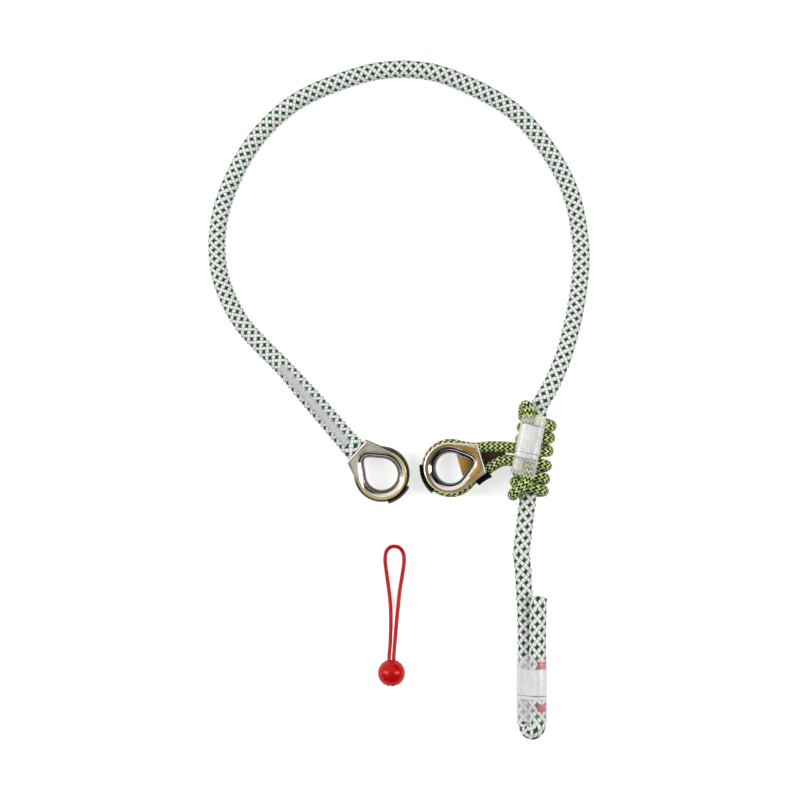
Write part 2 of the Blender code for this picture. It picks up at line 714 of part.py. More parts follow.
def make_loop():
    """The loop's rope, from the large ring's throat to the straight stretch."""
    ring = ring_place(LARGE_AT, LARGE_TURN, LARGE_TILT)
    throat = LARGE_THROAT[0] + GAP
    lead = [ring @ Vector((-throat - out, 0, 0)) for out in (0, 0.002, 0.005)]
    lead += [Vector((-0.0655, -0.0148, 0.0107)), Vector((-0.0846, 0.0072, 0.0098))]
    straight = [in_hitch(0, STRAIGHT_ABOVE + more, 0) for more in (0.0030, 0.0015, 0)]
    line = smooth([*lead, *(Vector(point) for point in LOOP_ROUTE), *straight])
    total = travelled(line)[-1]
    for name, start, end in (
        ("rope_splice", 0, NECK_LENGTH),
        ("rope_left_run", NECK_LENGTH, CROWN_FROM),
        ("rope_crown", CROWN_FROM, CROWN_TO),
        ("rope_right_run", CROWN_TO, total),
    ):
        part = stretch(line, start, end - GAP)
        points = thinned(part, 11, 0.036)
        radii = [ROPE_R] * len(points)
        if name == "rope_splice":
            radii = np.interp(travelled(points), NECK_AT, NECK_RADII)
        tube(name, points, ROPE_R, "white_green_rope", sides=4, radii=radii)
    print(f"loop rope, throat to hitch: {total:.3f} m")
    return line


def make_splice_stitching(line):
    """The row of stitches along the splice, as a low strip on the rope's upper side."""
    part = thinned(stretch(line, 0.008, NECK_LENGTH + 0.004), 8, 0.024)
    far = 0.008 + travelled(part)
    part[:, 2] += np.interp(far, NECK_AT, NECK_RADII) + GAP + 0.0004
    strip = [(-0.0030, -0.0003), (0.0030, -0.0003), (0.0030, 0.0003), (-0.0030, 0.0003)]
    swept("splice_stitching", part, strip, "grey_thread")


def make_tail():
    top = in_hitch(0, STRAIGHT_ABOVE - GAP, 0)
    bottom = in_hitch(0, -STRAIGHT_BELOW, 0)
    tube("rope_hitch_stretch", [top, bottom], STRAIGHT_R, "white_green_rope", sides=4)

    middle = Vector((FOLD_AT[0], FOLD_AT[1], STANDING_Z + FREE_UP / 2))
    side = Vector((FREE_SIDE, 0, FREE_UP)) / 2
    fold = []
    for k in range(9):
        turn = math.pi * k / 8
        fold.append(middle - math.cos(turn) * side - math.sin(turn) * side.length * Vector((0, 1, 0)))
    start = [in_hitch(0, -STRAIGHT_BELOW - more, 0) for more in (GAP, 0.004, 0.008)]
    route = [Vector(point) for point in TAIL_ROUTE]
    free = [Vector(point) for point in FREE_ROUTE]
    line = smooth([*start, *route, *fold, *free])
    points = thinned(line, 15, 0.030)
    far = travelled(points)
    radii = [STRAIGHT_R if distance < 0.03 else TAIL_R for distance in far]
    tube("rope_tail", points, ROPE_R, "white_green_rope", sides=4, radii=radii)
    print(f"tail rope, below the straight stretch: {travelled(line)[-1]:.3f} m")


def tail_place(start, end):
    """The tail's cross-section midway between two places: X to the right, Y up."""
    middle = Vector((0, (start + end) / 2, 0))
    return Matrix.Translation(middle) @ Matrix.Rotation(math.pi / 2, 4, "X")


def make_tail_wrapping():
    standing = (STANDING_X, STANDING_Z)
    ends = [standing, (STANDING_X + FREE_SIDE, STANDING_Z + FREE_UP)]
    label_r = TAIL_R + GAP
    sleeve_r = label_r + SKIN_T + GAP
    outer = rounded_hull(ends, sleeve_r + SLEEVE_T, 0, math.tau * 39 / 40, 39)
    inner = rounded_hull(ends, sleeve_r, 0, math.tau * 39 / 40, 39)
    start, end = TAIL_SLEEVE
    flat_outline(
        "tail_sleeve", [outer, inner], (start - end) / 2, "clear_sleeve", tail_place(start, end)
    )

    def skin(name, first, last, span, finish):
        first, last = math.radians(first), math.radians(last)
        shape = rounded_hull(ends, label_r + SKIN_T, first, last, 16)
        shape += rounded_hull(ends, label_r, first, last, 16)[::-1]
        flat_outline(name, [shape], (span[0] - span[1]) / 2, finish, tail_place(*span))

    skin("tail_label", 0, 200, TAIL_LABEL, "white_label")
    above = (TAIL_LABEL[0] + TAIL_MARK_LENGTH + GAP, TAIL_LABEL[0] + GAP)
    below = (TAIL_LABEL[1] - 0.0035, TAIL_LABEL[1] - 0.0035 - TAIL_MARK_LENGTH)
    skin("tail_mark_upper", 25, 95, above, "red_tape")
    skin("tail_mark_lower", 25, 95, below, "red_tape")


def make_ball():
    """A turned ball with a bore for the cord and a recess for its knot."""
    top = math.asin(BALL_BORE_R / BALL_R)
    bottom = math.asin(BALL_RECESS_R / BALL_R)
    profile = []
    for k in range(13):
        turn = top + (math.pi - bottom - top) * k / 12
        profile.append((BALL_R * math.sin(turn), BALL_R * math.cos(turn)))
    floor = profile[-1][1] + BALL_RECESS
    profile += [(BALL_RECESS_R, floor), (BALL_BORE_R, floor)]
    mesh = bpy.data.meshes.new("retrieval_ball")
    edit = bmesh.new()
    verts = [edit.verts.new((x, 0, z)) for x, z in profile]
    for a, b in zip(verts, verts[1:] + verts[:1]):
        edit.edges.new((a, b))
    edit.to_mesh(mesh)
    edit.free()
    ball = add_node("retrieval_ball", mesh, "red_rubber")
    turned = ball.modifiers.new("turned", "SCREW")
    turned.angle = math.tau
    turned.steps = turned.render_steps = 28
    turned.use_merge_vertices = True
    turned.merge_threshold = 0.00001
    turned.use_normal_calculate = True
    ball.matrix_world = Matrix.Translation(BALL_AT) @ Matrix.Rotation(-math.pi / 2, 4, "X")
    return BALL_AT.y + floor


def make_pull_cord(recess):
    """The cord loop, whose two ends run through the ball to the knot in its recess."""
    knot_y = recess - KNOT_R - 0.0008
    top_y = knot_y + KNOT_R + GAP
    mesh = bpy.data.meshes.new("retrieval_knot")
    edit = bmesh.new()
    bmesh.ops.create_uvsphere(edit, u_segments=14, v_segments=9, radius=KNOT_R)
    bmesh.ops.scale(edit, vec=(1, 1, 0.8), verts=edit.verts)
    edit.to_mesh(mesh)
    edit.free()
    shade(mesh, 60)
    knot = add_node("retrieval_knot", mesh, "red_cord")
    knot.matrix_world = Matrix.Translation((BALL_AT.x, knot_y, BALL_AT.z))
    left = [(BALL_AT.x - PULL_SPREAD, y, BALL_AT.z) for y in (top_y, -0.2400, -0.2315)]
    right = [(BALL_AT.x + PULL_SPREAD, y, BALL_AT.z) for y in (-0.2315, -0.2400, top_y)]
    line = smooth(left + PULL_ROUTE + right)
    tube("retrieval_cord", thinned(line, 15, 0.010), PULL_CORD_R, "red_cord", sides=2)
    print(f"retrieval cord: {travelled(line)[-1]:.3f} m")


def main():
    clear_scene()
    new_collection()
    make_large_ring()
    make_small_ring()
    make_hitch()
    make_leg_wedge()
    make_bridge()
    line = make_loop()
    make_splice_stitching(line)
    make_tail()
    make_tail_wrapping()
    make_pull_cord(make_ball())


main()
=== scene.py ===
"""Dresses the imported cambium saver: braided rope and cord, rings, sleeves, labels and ball."""

import math
from collections import namedtuple

import bpy
import numpy as np
from mathutils import Matrix, Vector


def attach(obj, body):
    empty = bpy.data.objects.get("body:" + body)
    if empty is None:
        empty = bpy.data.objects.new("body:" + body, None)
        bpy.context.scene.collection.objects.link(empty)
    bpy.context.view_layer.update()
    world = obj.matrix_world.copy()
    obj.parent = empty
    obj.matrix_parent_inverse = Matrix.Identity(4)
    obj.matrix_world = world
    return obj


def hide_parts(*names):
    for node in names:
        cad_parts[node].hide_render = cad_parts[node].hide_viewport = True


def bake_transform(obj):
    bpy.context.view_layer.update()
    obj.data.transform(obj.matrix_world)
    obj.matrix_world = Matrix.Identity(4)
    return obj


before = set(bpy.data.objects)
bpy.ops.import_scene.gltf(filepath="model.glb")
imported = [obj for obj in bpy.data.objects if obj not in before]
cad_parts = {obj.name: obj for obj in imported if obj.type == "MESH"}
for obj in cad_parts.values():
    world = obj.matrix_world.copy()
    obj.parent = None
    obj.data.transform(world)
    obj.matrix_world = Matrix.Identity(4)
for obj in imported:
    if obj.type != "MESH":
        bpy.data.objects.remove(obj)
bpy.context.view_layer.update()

bl_info = {
    "name": "Cambium saver",
    "version": (1, 0, 0),
    "blender": (4, 5, 0),
    "location": "3D View > Sidebar > Saver",
    "description": "Dresses the packed cambium saver with its rope, cord, rings and sleeves",
    "category": "Add Mesh",
}

UP = Vector((0, 0, 1))
GAP = 0.0003
SHARP = math.radians(40)  # edges turned by more than this are rounded, and shaded apart
MERGE = 0.00001
LINE_STEP = 0.0004

# The main rope's line, from the large ring's throat to the tail's free end
ROPE_R = 0.0080
NECK_LENGTH = 0.098
NECK_AT = (0.0, 0.012, 0.060, NECK_LENGTH)
NECK_RADII = (0.0106, 0.0098, 0.0096, ROPE_R)
THROAT_LEAD = (0.0, 0.002, 0.005)
RING_LEAD = [(-0.0655, -0.0148, 0.0107), (-0.0846, 0.0072, 0.0098)]
LOOP_ROUTE = [
    (-0.1044, 0.0297, 0.0091),
    (-0.1233, 0.0486, 0.0084),
    (-0.1441, 0.0728, 0.0080),
    (-0.1618, 0.1146, 0.0080),
    (-0.1624, 0.1599, 0.0080),
    (-0.1484, 0.2024, 0.0080),
    (-0.1253, 0.2396, 0.0080),
    (-0.0933, 0.2684, 0.0080),
    (-0.0548, 0.2862, 0.0080),
    (-0.0141, 0.2970, 0.0080),
    (0.0283, 0.2957, 0.0080),
    (0.0680, 0.2810, 0.0080),
    (0.1045, 0.2592, 0.0080),
    (0.1334, 0.2265, 0.0080),
    (0.1544, 0.1874, 0.0080),
    (0.1634, 0.1429, 0.0080),
    (0.1638, 0.1180, 0.0080),
    (0.1605, 0.0918, 0.0081),
    (0.1577, 0.0760, 0.0087),
    (0.1546, 0.0630, 0.0099),
    (0.1508, 0.0486, 0.0119),
    (0.1459, 0.0342, 0.0143),
    (0.1398, 0.0198, 0.0163),
    (0.1343, 0.0092, 0.0173),
    (0.1293, 0.0006, 0.0178),
    (0.1269, -0.0036, 0.0179),
]
CROWN_FROM = 0.381
CROWN_TO = 0.581
STRAIGHT_STOPS = (0.0440, 0.0425, 0.041, 0.010, -0.035, -0.075, -0.079, -0.0793, -0.083, -0.087)
TAIL_ROUTE = [
    (0.1112, -0.1500, 0.0168),
    (0.1121, -0.1650, 0.0146),
    (0.1132, -0.1830, 0.0118),
    (0.1140, -0.2040, 0.0098),
    (0.1143, -0.2280, 0.0092),
    (0.1143, -0.2600, 0.0092),
]
FOLD_MIDDLE = Vector((0.1193, -0.2898, 0.0154))
FOLD_SIDE = Vector((0.0050, 0, 0.0062))
FREE_ROUTE = [
    (0.1243, -0.2600, 0.0216),
    (0.1243, -0.2300, 0.0216),
    (0.1244, -0.2050, 0.0224),
    (0.1247, -0.1900, 0.0233),
    (0.1251, -0.1775, 0.0240),
]
STITCHED = (0.008, NECK_LENGTH + 0.004)
THREAD_DIP = 0.0007  # how deep a stitch dives at the band's edges
THREAD_PROUD = 0.75  # how high the thread's middle lies elsewhere, in its radii
STRAIGHT_R = 0.00785
TAIL_R = 0.0077
STRAIGHT_ABOVE = 0.041
STRAIGHT_BELOW = 0.079
CUT_DOME = 0.0012  # how far the tail's cut end is rounded
CUT_LEAN = -0.35  # and how far it leans over, as a share of the rope's radius
LEAN_LENGTH = 0.012
DOME_STEPS = (0.82, 0.5)  # the domed end's rings, as shares of the rope's radius

# The friction hitch, across, along and up from its centre on the rope
HITCH_AT = Vector((0.1203, -0.0508, 0.0179))
HITCH_LEAN = math.radians(7.0)
ALONG = Vector((math.sin(HITCH_LEAN), math.cos(HITCH_LEAN), 0))
ACROSS = Vector((math.cos(HITCH_LEAN), -math.sin(HITCH_LEAN), 0))
CORD_R = 0.00485
WRAP_R = STRAIGHT_R + GAP + CORD_R
WRAP_ALONG = [
    0.0051, 0.0068, 0.0104, 0.0145, 0.0166, 0.0186,
    0.0214, 0.0248, 0.0272, 0.0294, 0.0321, 0.0352,
]
WRAP_TURNS = 2.75
LEG_TURN = math.radians(107)
LEG_CUT = 0.0150
LEG_SPREAD = 0.05
BRIDGE_TOP = (-0.0039, 0.0355)
BRIDGE_BOTTOM = (-0.0084, -0.0175)
BRIDGE_HALF = 0.00505
BRIDGE_LEFT_UP = 0.0226
BRIDGE_RIGHT_UP = 0.0250
UPPER_END_AT = -0.0030
LOWER_END_AT = 0.0265
UPPER_TURN = [
    (-0.0132, 0.0380, 0.0049),
    (-0.0137, 0.0407, 0.0088),
    (-0.0135, 0.0435, 0.0125),
    (-0.0122, 0.0446, 0.0170),
    (-0.0107, 0.0432, 0.0204),
    (-0.0094, 0.0407, 0.0221),
]
LOWER_TURN = [
    (-0.0133, -0.0362, 0.0049),
    (-0.0142, -0.0361, 0.0101),
    (-0.0136, -0.0343, 0.0165),
    (-0.0110, -0.0311, 0.0217),
    (-0.0071, -0.0266, 0.0244),
    (-0.0046, -0.0230, 0.0249),
]

# Rings, each with its nose towards its own +X, and the places of their finishes
RING_HALF = 0.0105
GROOVE_HALF = 0.0082
CORNER_R = 0.0036
CORNER_BACK = 0.0167
RING_LIP, RING_FLAT, RING_EDGE, RING_CHAMFER, RING_BORE = range(5)
STEEP = 0.68  # a bore's faces that turn up less than this get a painted dark reflection
GROOVE_EDGE = 0.25  # how broadly the groove's edges are rounded, as a share of the throat's
LARGE_AT = Vector((-0.0155, -0.0666, 0.0125))
LARGE_TURN = math.radians(-43)
LARGE_TILT = (math.radians(5), "X")
LARGE_BORE_R = 0.0140
LARGE_THROAT = 0.0313
LARGE_WALL = 0.0024
EYE_RADIAL = 0.0041
EYE_AXIAL = 0.0072
EYE_SPREAD = 0.0052
EYE_CLOSE = [(-0.0232, 0.0083, 0), (-0.0278, 0.0059, 0), (-0.0298, EYE_SPREAD, 0)]
SMALL_AT = Vector((0.0464, -0.0611, 0.0144))
SMALL_TURN = math.radians(196.4)
SMALL_TILT = (math.radians(-10), "Y")
SMALL_BORE_R = 0.0134
SMALL_THROAT = 0.0311
SMALL_WALL = 0.0028
SMALL_EYE_UPPER = [
    (-0.0375, -0.0088, 0), (-0.0330, -0.0096, 0), (-0.0262, -0.0110, 0), (-0.0180, -0.0144, 0),
]
SMALL_EYE_LOWER = [
    (-0.0180, 0.0144, 0), (-0.0262, 0.0112, 0), (-0.0312, 0.0104, 0), (-0.0355, 0.0092, 0),
]
UPPER_LEG_REACH = (0.0040, 0.0040)  # how far its curve keeps each end's direction
LOWER_LEG_REACH = (0.0110, 0.0110)
LEG_LEAD = 0.0016

# Sleeves and labels
SKIN_T = 0.0002
SLEEVE_T = 0.0004
TAIL_STANDING = (0.1143, 0.0092)
TAIL_FREE = (0.1243, 0.0216)
TAIL_SLEEVE = (-0.2304, -0.2890)
FILM_OUT = 2 * GAP + SKIN_T + SLEEVE_T
HITCH_LABEL_AT = 0.0130
HITCH_LABEL_SPAN = (-0.0225, 0.0125)  # where a label holds its sleeve level, from the middle
TAIL_LABEL_SPAN = (-0.0205, 0.0160)
RULE_HALF = 0.0005
HITCH_RULES = ((0.0150, 1.0), (-0.0102, 0.9), (-0.0150, 1.0))  # how far along, and how dark
TAIL_RULES = ((-0.2652, 0.9),)
CLEARER_X = (0.114, 0.122)  # the tail's film grows clearer over these stretches
CLEARER_Y = (-0.14, -0.16)

# Retrieval ball and its cord
BALL_AT = Vector((-0.0068, -0.2455, 0.0124))
BALL_R = 0.0124
BALL_RECESS = 0.0085
RECESS_FLOOR = BALL_AT.y - BALL_R * math.sqrt(0.75) + BALL_RECESS
KNOT_R = 0.0054
KNOT_GAP = 0.0008
KNOT_DEPTH = 0.0017
PULL_CORD_R = 0.00175
PULL_SPREAD = 0.0021
PULL_INSIDE = (-0.2400, -0.2315)  # where the cord's two sides run straight in the ball's bore
PULL_ROUTE = [
    (-0.0079, -0.2190, 0.0108),
    (-0.0073, -0.2000, 0.0062),
    (-0.0077, -0.1850, 0.0030),
    (-0.0090, -0.1720, 0.0019),
    (-0.0110, -0.1575, 0.0019),
    (-0.0125, -0.1445, 0.0019),
    (-0.0113, -0.1364, 0.0019),
    (-0.0077, -0.1327, 0.0019),
    (-0.0037, -0.1320, 0.0019),
    (0.0005, -0.1334, 0.0019),
    (0.0036, -0.1375, 0.0019),
    (0.0046, -0.1445, 0.0019),
    (0.0030, -0.1575, 0.0019),
    (0.0008, -0.1710, 0.0019),
    (-0.0007, -0.1850, 0.0030),
    (-0.0022, -0.2000, 0.0062),
    (-0.0035, -0.2150, 0.0102),
]

# A braid: strands each way round, one strand's advance at distances along its cord, how many
# crossings its pattern repeats over and where it starts, how deep its relief is, the share of
# that which is the strands' rise and fall, each strand's width, and the mesh's steps a strand.
Weave = namedtuple("Weave", "strands pitch repeat phase depth lift width fineness")
ROPE_ADVANCE = (
    (0.0, 0.00365), (0.10, 0.00390), (0.25, 0.00405), (0.80, 0.00415), (0.87, 0.00460),
    (1.00, 0.00500), (1.20, 0.00520),
)
ROPE_WEAVE = Weave(10, ROPE_ADVANCE, 2, 0.0, 0.0009, 0.62, 0.98, 8)
EYE_WEAVE = ROPE_WEAVE._replace(pitch=((0, 0.00400),), depth=0.0005)
CORD_WEAVE = Weave(16, ((0, 0.00240),), 4, 0.5, 0.00040, 0.40, 0.96, 5)
PULL_WEAVE = Weave(8, ((0, 0.00135),), 2, 0.0, 0.00010, 0.40, 0.96, 4)


# Camera and surface
CAMERA_X = 0.0009
SENSOR_WIDTH = 36
FRAME_LEVEL = 0.010  # the height at which the picture is as wide as the setting says
FLOOR_LEVEL = -0.0004
WHITE = (1, 1, 1, 1)


# ---------------------------------------------------------------- lines


def smooth(points, step=0.0005):
    """A smooth curve through the points, as a line with a point about every step."""
    p = np.array([tuple(q) for q in points], float)
    p = np.vstack([2 * p[0] - p[1], p, 2 * p[-1] - p[-2]])
    line = []
    for a, b, c, d in zip(p, p[1:], p[2:], p[3:]):
        ab, bc, cd = (max(math.sqrt(np.linalg.norm(v)), 1e-9) for v in (b - a, c - b, d - c))
        out = (b - a) / ab - (c - a) / (ab + bc) + (c - b) / bc
        into = (c - b) / bc - (d - b) / (bc + cd) + (d - c) / cd
        steps = max(2, math.ceil(np.linalg.norm(c - b) / step))
        t = (np.arange(steps) / steps)[:, None]
        line.append(
            (2 * t**3 - 3 * t**2 + 1) * b
            + (t**3 - 2 * t**2 + t) * bc * out
            + (3 * t**2 - 2 * t**3) * c
            + (t**3 - t**2) * bc * into
        )
    return np.vstack([*line, p[-2]])


def travelled(line):
    """How far along the line each of its points is."""
    return np.concatenate([[0], np.cumsum(np.linalg.norm(np.diff(line, axis=0), axis=1))])


def unit(rows):
    """Each row as a direction of length 1."""
    return rows / np.linalg.norm(rows, axis=-1, keepdims=True)


class Course:
    """A cord's centre line, with an upward direction across it that doesn't twist."""

    def __init__(self, line, up=UP):
        gone = travelled(line)
        keep = np.concatenate([[True], np.diff(gone) > 1e-7])
        self.line = line[keep]
        self.far = travelled(self.line)
        self.length = float(self.far[-1])
        self.along = unit(np.gradient(self.line, self.far, axis=0))
        ups = []
        now = np.array(tuple(up), float)
        for ahead in self.along:
            now = now - (now @ ahead) * ahead
            now = now / np.linalg.norm(now)
            ups.append(now)
        self.up = np.array(ups)

    def _read(self, rows, values):
        return np.stack([np.interp(rows, self.far, values[:, k]) for k in range(3)], axis=1)

    def at(self, rows):
        """The centre, and the directions along, up and sideways, at distances along it."""
        along = unit(self._read(rows, self.along))
        up = self._read(rows, self.up)
        up = unit(up - (up * along).sum(1, keepdims=True) * along)
        return self._read(rows, self.line), along, up, np.cross(up, along)

    def nearest(self, point):
        """How far along the line its nearest place to a point is."""
        return float(self.far[np.linalg.norm(self.line - np.array(tuple(point)), axis=1).argmin()])


def in_hitch(across, along, up):
    """A point given across the rope, along it and up, from the hitch's centre."""
    return HITCH_AT + across * ACROSS + along * ALONG + up * UP


def ring_place(at, turn, tilt):
    """A ring's place, turned on the surface and then tilted off it."""
    leaned = Matrix.Translation(at) @ Matrix.Rotation(tilt[0], 4, tilt[1])
    return leaned @ Matrix.Rotation(turn, 4, "Z")


LARGE_PLACE = ring_place(LARGE_AT, LARGE_TURN, LARGE_TILT)
SMALL_PLACE = ring_place(SMALL_AT, SMALL_TURN, SMALL_TILT)


def rope_course():
    """The main rope, from the large ring's throat to the end of its folded tail."""
    throat = LARGE_THROAT + GAP
    points = [LARGE_PLACE @ Vector((-throat - out, 0, 0)) for out in THROAT_LEAD]
    points += [*RING_LEAD, *LOOP_ROUTE]
    points += [in_hitch(0, stop, 0) for stop in STRAIGHT_STOPS]
    points += TAIL_ROUTE
    for k in range(9):
        turn = math.pi * k / 8
        reach = math.sin(turn) * FOLD_SIDE.length
        points.append(FOLD_MIDDLE - math.cos(turn) * FOLD_SIDE - Vector((0, reach, 0)))
    points += FREE_ROUTE
    return Course(smooth(points))


def eye_course():
    """The rope's way round the large ring, from one side of the throat to the other."""
    nose = LARGE_BORE_R + LARGE_WALL + 2 * GAP + EYE_RADIAL
    corner = CORNER_R + LARGE_WALL + 2 * GAP + EYE_RADIAL
    lean = math.asin((nose - corner) / CORNER_BACK)
    arc = [(math.pi / 2 + lean) * k / 8 for k in range(9)]
    half = [(nose * math.cos(a), nose * math.sin(a), 0) for a in arc]
    half += [*EYE_CLOSE, (-LARGE_THROAT, EYE_SPREAD, 0)]
    points = [(x, -y, z) for x, y, z in half[:0:-1]] + half
    up = LARGE_PLACE.to_3x3() @ UP
    return Course(smooth([LARGE_PLACE @ Vector(point) for point in points]), up)


def small_eye_points():
    """The hitch cord's way round the small ring, from its upper leg to its lower."""
    nose = SMALL_BORE_R + SMALL_WALL + GAP + CORD_R
    arc = [math.radians(14 * k) for k in range(-8, 9)]
    turn = [(nose * math.cos(a), nose * math.sin(a), 0) for a in arc]
    points = SMALL_EYE_UPPER + turn + SMALL_EYE_LOWER
    return [SMALL_PLACE @ Vector(point) for point in points]


def leave_point(side, out):
    """A point on the slope down which a leg leaves the rope, so far left of the rope's axis."""
    reach = out + WRAP_R * math.cos(LEG_TURN)
    drop = reach * math.tan(LEG_TURN - math.pi / 2)
    spread = side * (WRAP_ALONG[0] + LEG_SPREAD * reach)
    return (-out, spread, WRAP_R * math.sin(LEG_TURN) - drop)


def wrap_points(side):
    """The wraps from the leg outwards: over the rope, down its right side and under it."""
    places = smooth([(k, along, 0) for k, along in enumerate(WRAP_ALONG)], 0.1)
    points = []
    turn, last = math.radians(105), math.pi / 2 - math.tau * WRAP_TURNS
    while turn > last - 0.01:
        gone = max(0.0, math.pi / 2 - turn) / math.tau
        along = float(np.interp(4 * gone, places[:, 0], places[:, 1]))
        points.append((WRAP_R * math.cos(turn), side * along, WRAP_R * math.sin(turn)))
        turn -= math.radians(15)
    return points


def bridge_side(along):
    """How far across the bridge's middle is at one place along the rope."""
    (top, top_at), (bottom, bottom_at) = BRIDGE_TOP, BRIDGE_BOTTOM
    return bottom + (top - bottom) * (along - bottom_at) / (top_at - bottom_at)


def bridge_point(along, left):
    """A point on one of the two cord ends that lie side by side under the sleeve."""
    side = bridge_side(along) + (-BRIDGE_HALF if left else BRIDGE_HALF)
    return (side, along, BRIDGE_LEFT_UP if left else BRIDGE_RIGHT_UP)


def coil_line(side, turn_route, end):
    """One half of the hitch: a leg's start, its wraps, the turn, and the bridge to its end."""
    left = side > 0
    mouth = BRIDGE_TOP[1] if left else BRIDGE_BOTTOM[1]
    points = [leave_point(side, LEG_CUT - more) for more in (0, 0.003, 0.006)]
    points += wrap_points(side) + turn_route
    for share in (-0.05, 0.0, 0.35, 0.7, 1.0):
        points.append(bridge_point(mouth + (end - mouth) * share, left))
    return smooth([in_hitch(*point) for point in points], LINE_STEP)


def leg_line(side, reach, tip, after):
    """A leg's curve, from where it leaves its coil to the small ring's throat."""
    run = (after - tip).normalized()
    leave = [in_hitch(*leave_point(side, LEG_CUT + more)) for more in (-0.002, 0, LEG_LEAD)]
    first, last = leave[2], tip - LEG_LEAD * run
    out, into = first + reach[0] * (first - leave[0]).normalized(), last - reach[1] * run
    points = [leave[1]]
    for k in range(17):
        t, u = k / 16, 1 - k / 16
        points.append(u**3 * first + 3 * u * u * t * out + 3 * u * t * t * into + t**3 * last)
    return smooth([*points, tip], LINE_STEP)


def hitch_course():
    """The whole hitch cord and the places that divide it, from its upper end to its lower."""
    eye = small_eye_points()
    parts = [
        coil_line(1, UPPER_TURN, UPPER_END_AT)[::-1],
        leg_line(1, UPPER_LEG_REACH, eye[0], eye[1]),
        smooth(eye, LINE_STEP),
        leg_line(-1, LOWER_LEG_REACH, eye[-1], eye[-2])[::-1],
        coil_line(-1, LOWER_TURN, LOWER_END_AT),
    ]
    course = Course(np.vstack(parts))
    cuts = np.cumsum([0] + [travelled(part)[-1] for part in parts])
    return course, cuts


def pull_course():
    """The retrieval cord, from the knot out of the ball, round, and back."""
    top = RECESS_FLOOR - 0.0005
    stops = (top, *PULL_INSIDE)
    left = [(BALL_AT.x - PULL_SPREAD, y, BALL_AT.z) for y in stops]
    right = [(BALL_AT.x + PULL_SPREAD, y, BALL_AT.z) for y in stops[::-1]]
    return Course(smooth(left + PULL_ROUTE + right))


def knot_course():
    """The knot: a flat trefoil in the ball's recess, clear of its floor."""
    middle = Vector((BALL_AT.x, RECESS_FLOOR - KNOT_R - KNOT_GAP, BALL_AT.z))
    reach = (KNOT_R - PULL_CORD_R) / 3
    turns = np.linspace(0, math.tau, 200)
    line = [
        middle.x + reach * (np.sin(turns) + 2 * np.sin(2 * turns)),
        middle.y + KNOT_DEPTH * np.sin(3 * turns),
        middle.z + reach * (np.cos(turns) - 2 * np.cos(2 * turns)),
    ]
    return Course(np.stack(line, axis=1))


# ---------------------------------------------------------------- meshes


def make_active(made):
    """Selects an object alone, for the operators that work on the selection."""
    bpy.ops.object.select_all(action="DESELECT")
    made.select_set(True)
    bpy.context.view_layer.objects.active = made


def placed(made, name, place):
    """Names an object and puts its place in its mesh."""
    made.name = made.data.name = name
    make_active(made)
    made.matrix_world = place
    bpy.ops.object.transform_apply(location=True, rotation=True, scale=True)
    return made


def modified(made, kind, **settings):
    """Adds a modifier, sets it and applies it."""
    make_active(made)
    modifier = made.modifiers.new(kind.title(), kind)
    for key, value in settings.items():
        setattr(modifier, key, value)
    bpy.ops.object.modifier_apply(modifier=modifier.name)
    return made


def subdivided(made, levels=1):
    return modified(made, "SUBSURF", levels=levels, render_levels=levels)


def shade(made, angle=SHARP):
    """Shades an object smoothly but across its sharp edges."""
    make_active(made)
    bpy.ops.object.shade_smooth_by_angle(angle=angle)
    return made


def dress(made, *materials):
    """Gives a piece its materials, and leaves each face its own place in their list."""
    slots = made.data.materials
    for place, finish in enumerate(materials):
        if place < len(slots):
            slots[place] = finish
        else:
            slots.append(finish)
    while len(slots) > len(materials):
        slots.pop()
    return made


def weigh_edges(made, weight):
    """Gives each sharp edge its share of the bevel's width, from where its middle is."""
    sides = {}
    for face in made.data.polygons:
        for key in face.edge_keys:
            sides.setdefault(key, []).append(face.normal)
    weights = []
    for edge in made.data.edges:
        pair = sides.get(edge.key, ())
        sharp = len(pair) == 2 and pair[0].angle(pair[1], 0) > SHARP
        ends = [made.data.vertices[k].co for k in edge.vertices]
        weights.append(weight((ends[0] + ends[1]) / 2) if sharp else 0.0)
    layer = made.data.attributes.new("bevel_weight_edge", "FLOAT", "EDGE")
    layer.data.foreach_set("value", weights)


def refined(node, name, bevel=0.0, segments=2, levels=1, bevel_material=-1, weight=None):
    """A finer copy of a CAD node: merged, with rounded edges and a smoother surface.

    The rounded edges may have a material of their own, and their width a weight."""
    made = bpy.data.objects.new(name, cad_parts[node].data.copy())
    bpy.context.scene.collection.objects.link(made)
    make_active(made)
    bpy.ops.object.mode_set(mode="EDIT")
    bpy.ops.mesh.select_all(action="SELECT")
    bpy.ops.mesh.remove_doubles(threshold=MERGE)
    bpy.ops.mesh.tris_convert_to_quads(
        face_threshold=math.radians(60), shape_threshold=math.radians(60)
    )
    bpy.ops.object.mode_set(mode="OBJECT")
    made.data.name = name
    while len(made.data.materials) <= bevel_material:
        made.data.materials.append(None)
    if weight:
        weigh_edges(made, weight)
    if bevel:
        modified(
            made, "BEVEL", width=bevel, segments=segments, material=bevel_material,
            limit_method="WEIGHT" if weight else "ANGLE", angle_limit=SHARP,
        )
    if levels:
        subdivided(made, levels)
    return shade(made)


def linked(name, mesh):
    """A smooth object of a mesh, in the scene."""
    mesh.shade_smooth()
    made = bpy.data.objects.new(name, mesh)
    bpy.context.scene.collection.objects.link(made)
    return made


def strand_heights(x, y, weave):
    """How high a braid's surface stands, from 0 to 1, where x and y count its strands."""
    p, q = x - y, x + y
    first, second = np.round(p), np.round(q)
    pace = math.tau / weave.repeat
    heights = []
    for off, wave in (
        (p - first, np.cos(pace * (q + first - weave.phase))),
        (q - second, -np.cos(pace * (p + second - weave.phase))),
    ):
        crown = np.sqrt(np.clip(1 - (2 * off / weave.width) ** 2, 0, 1))
        rise = weave.lift * (wave + 1) / 2 + (1 - weave.lift) * crown
        heights.append(np.where(np.abs(2 * off) < weave.width, rise, 0))
    return np.maximum(*heights)


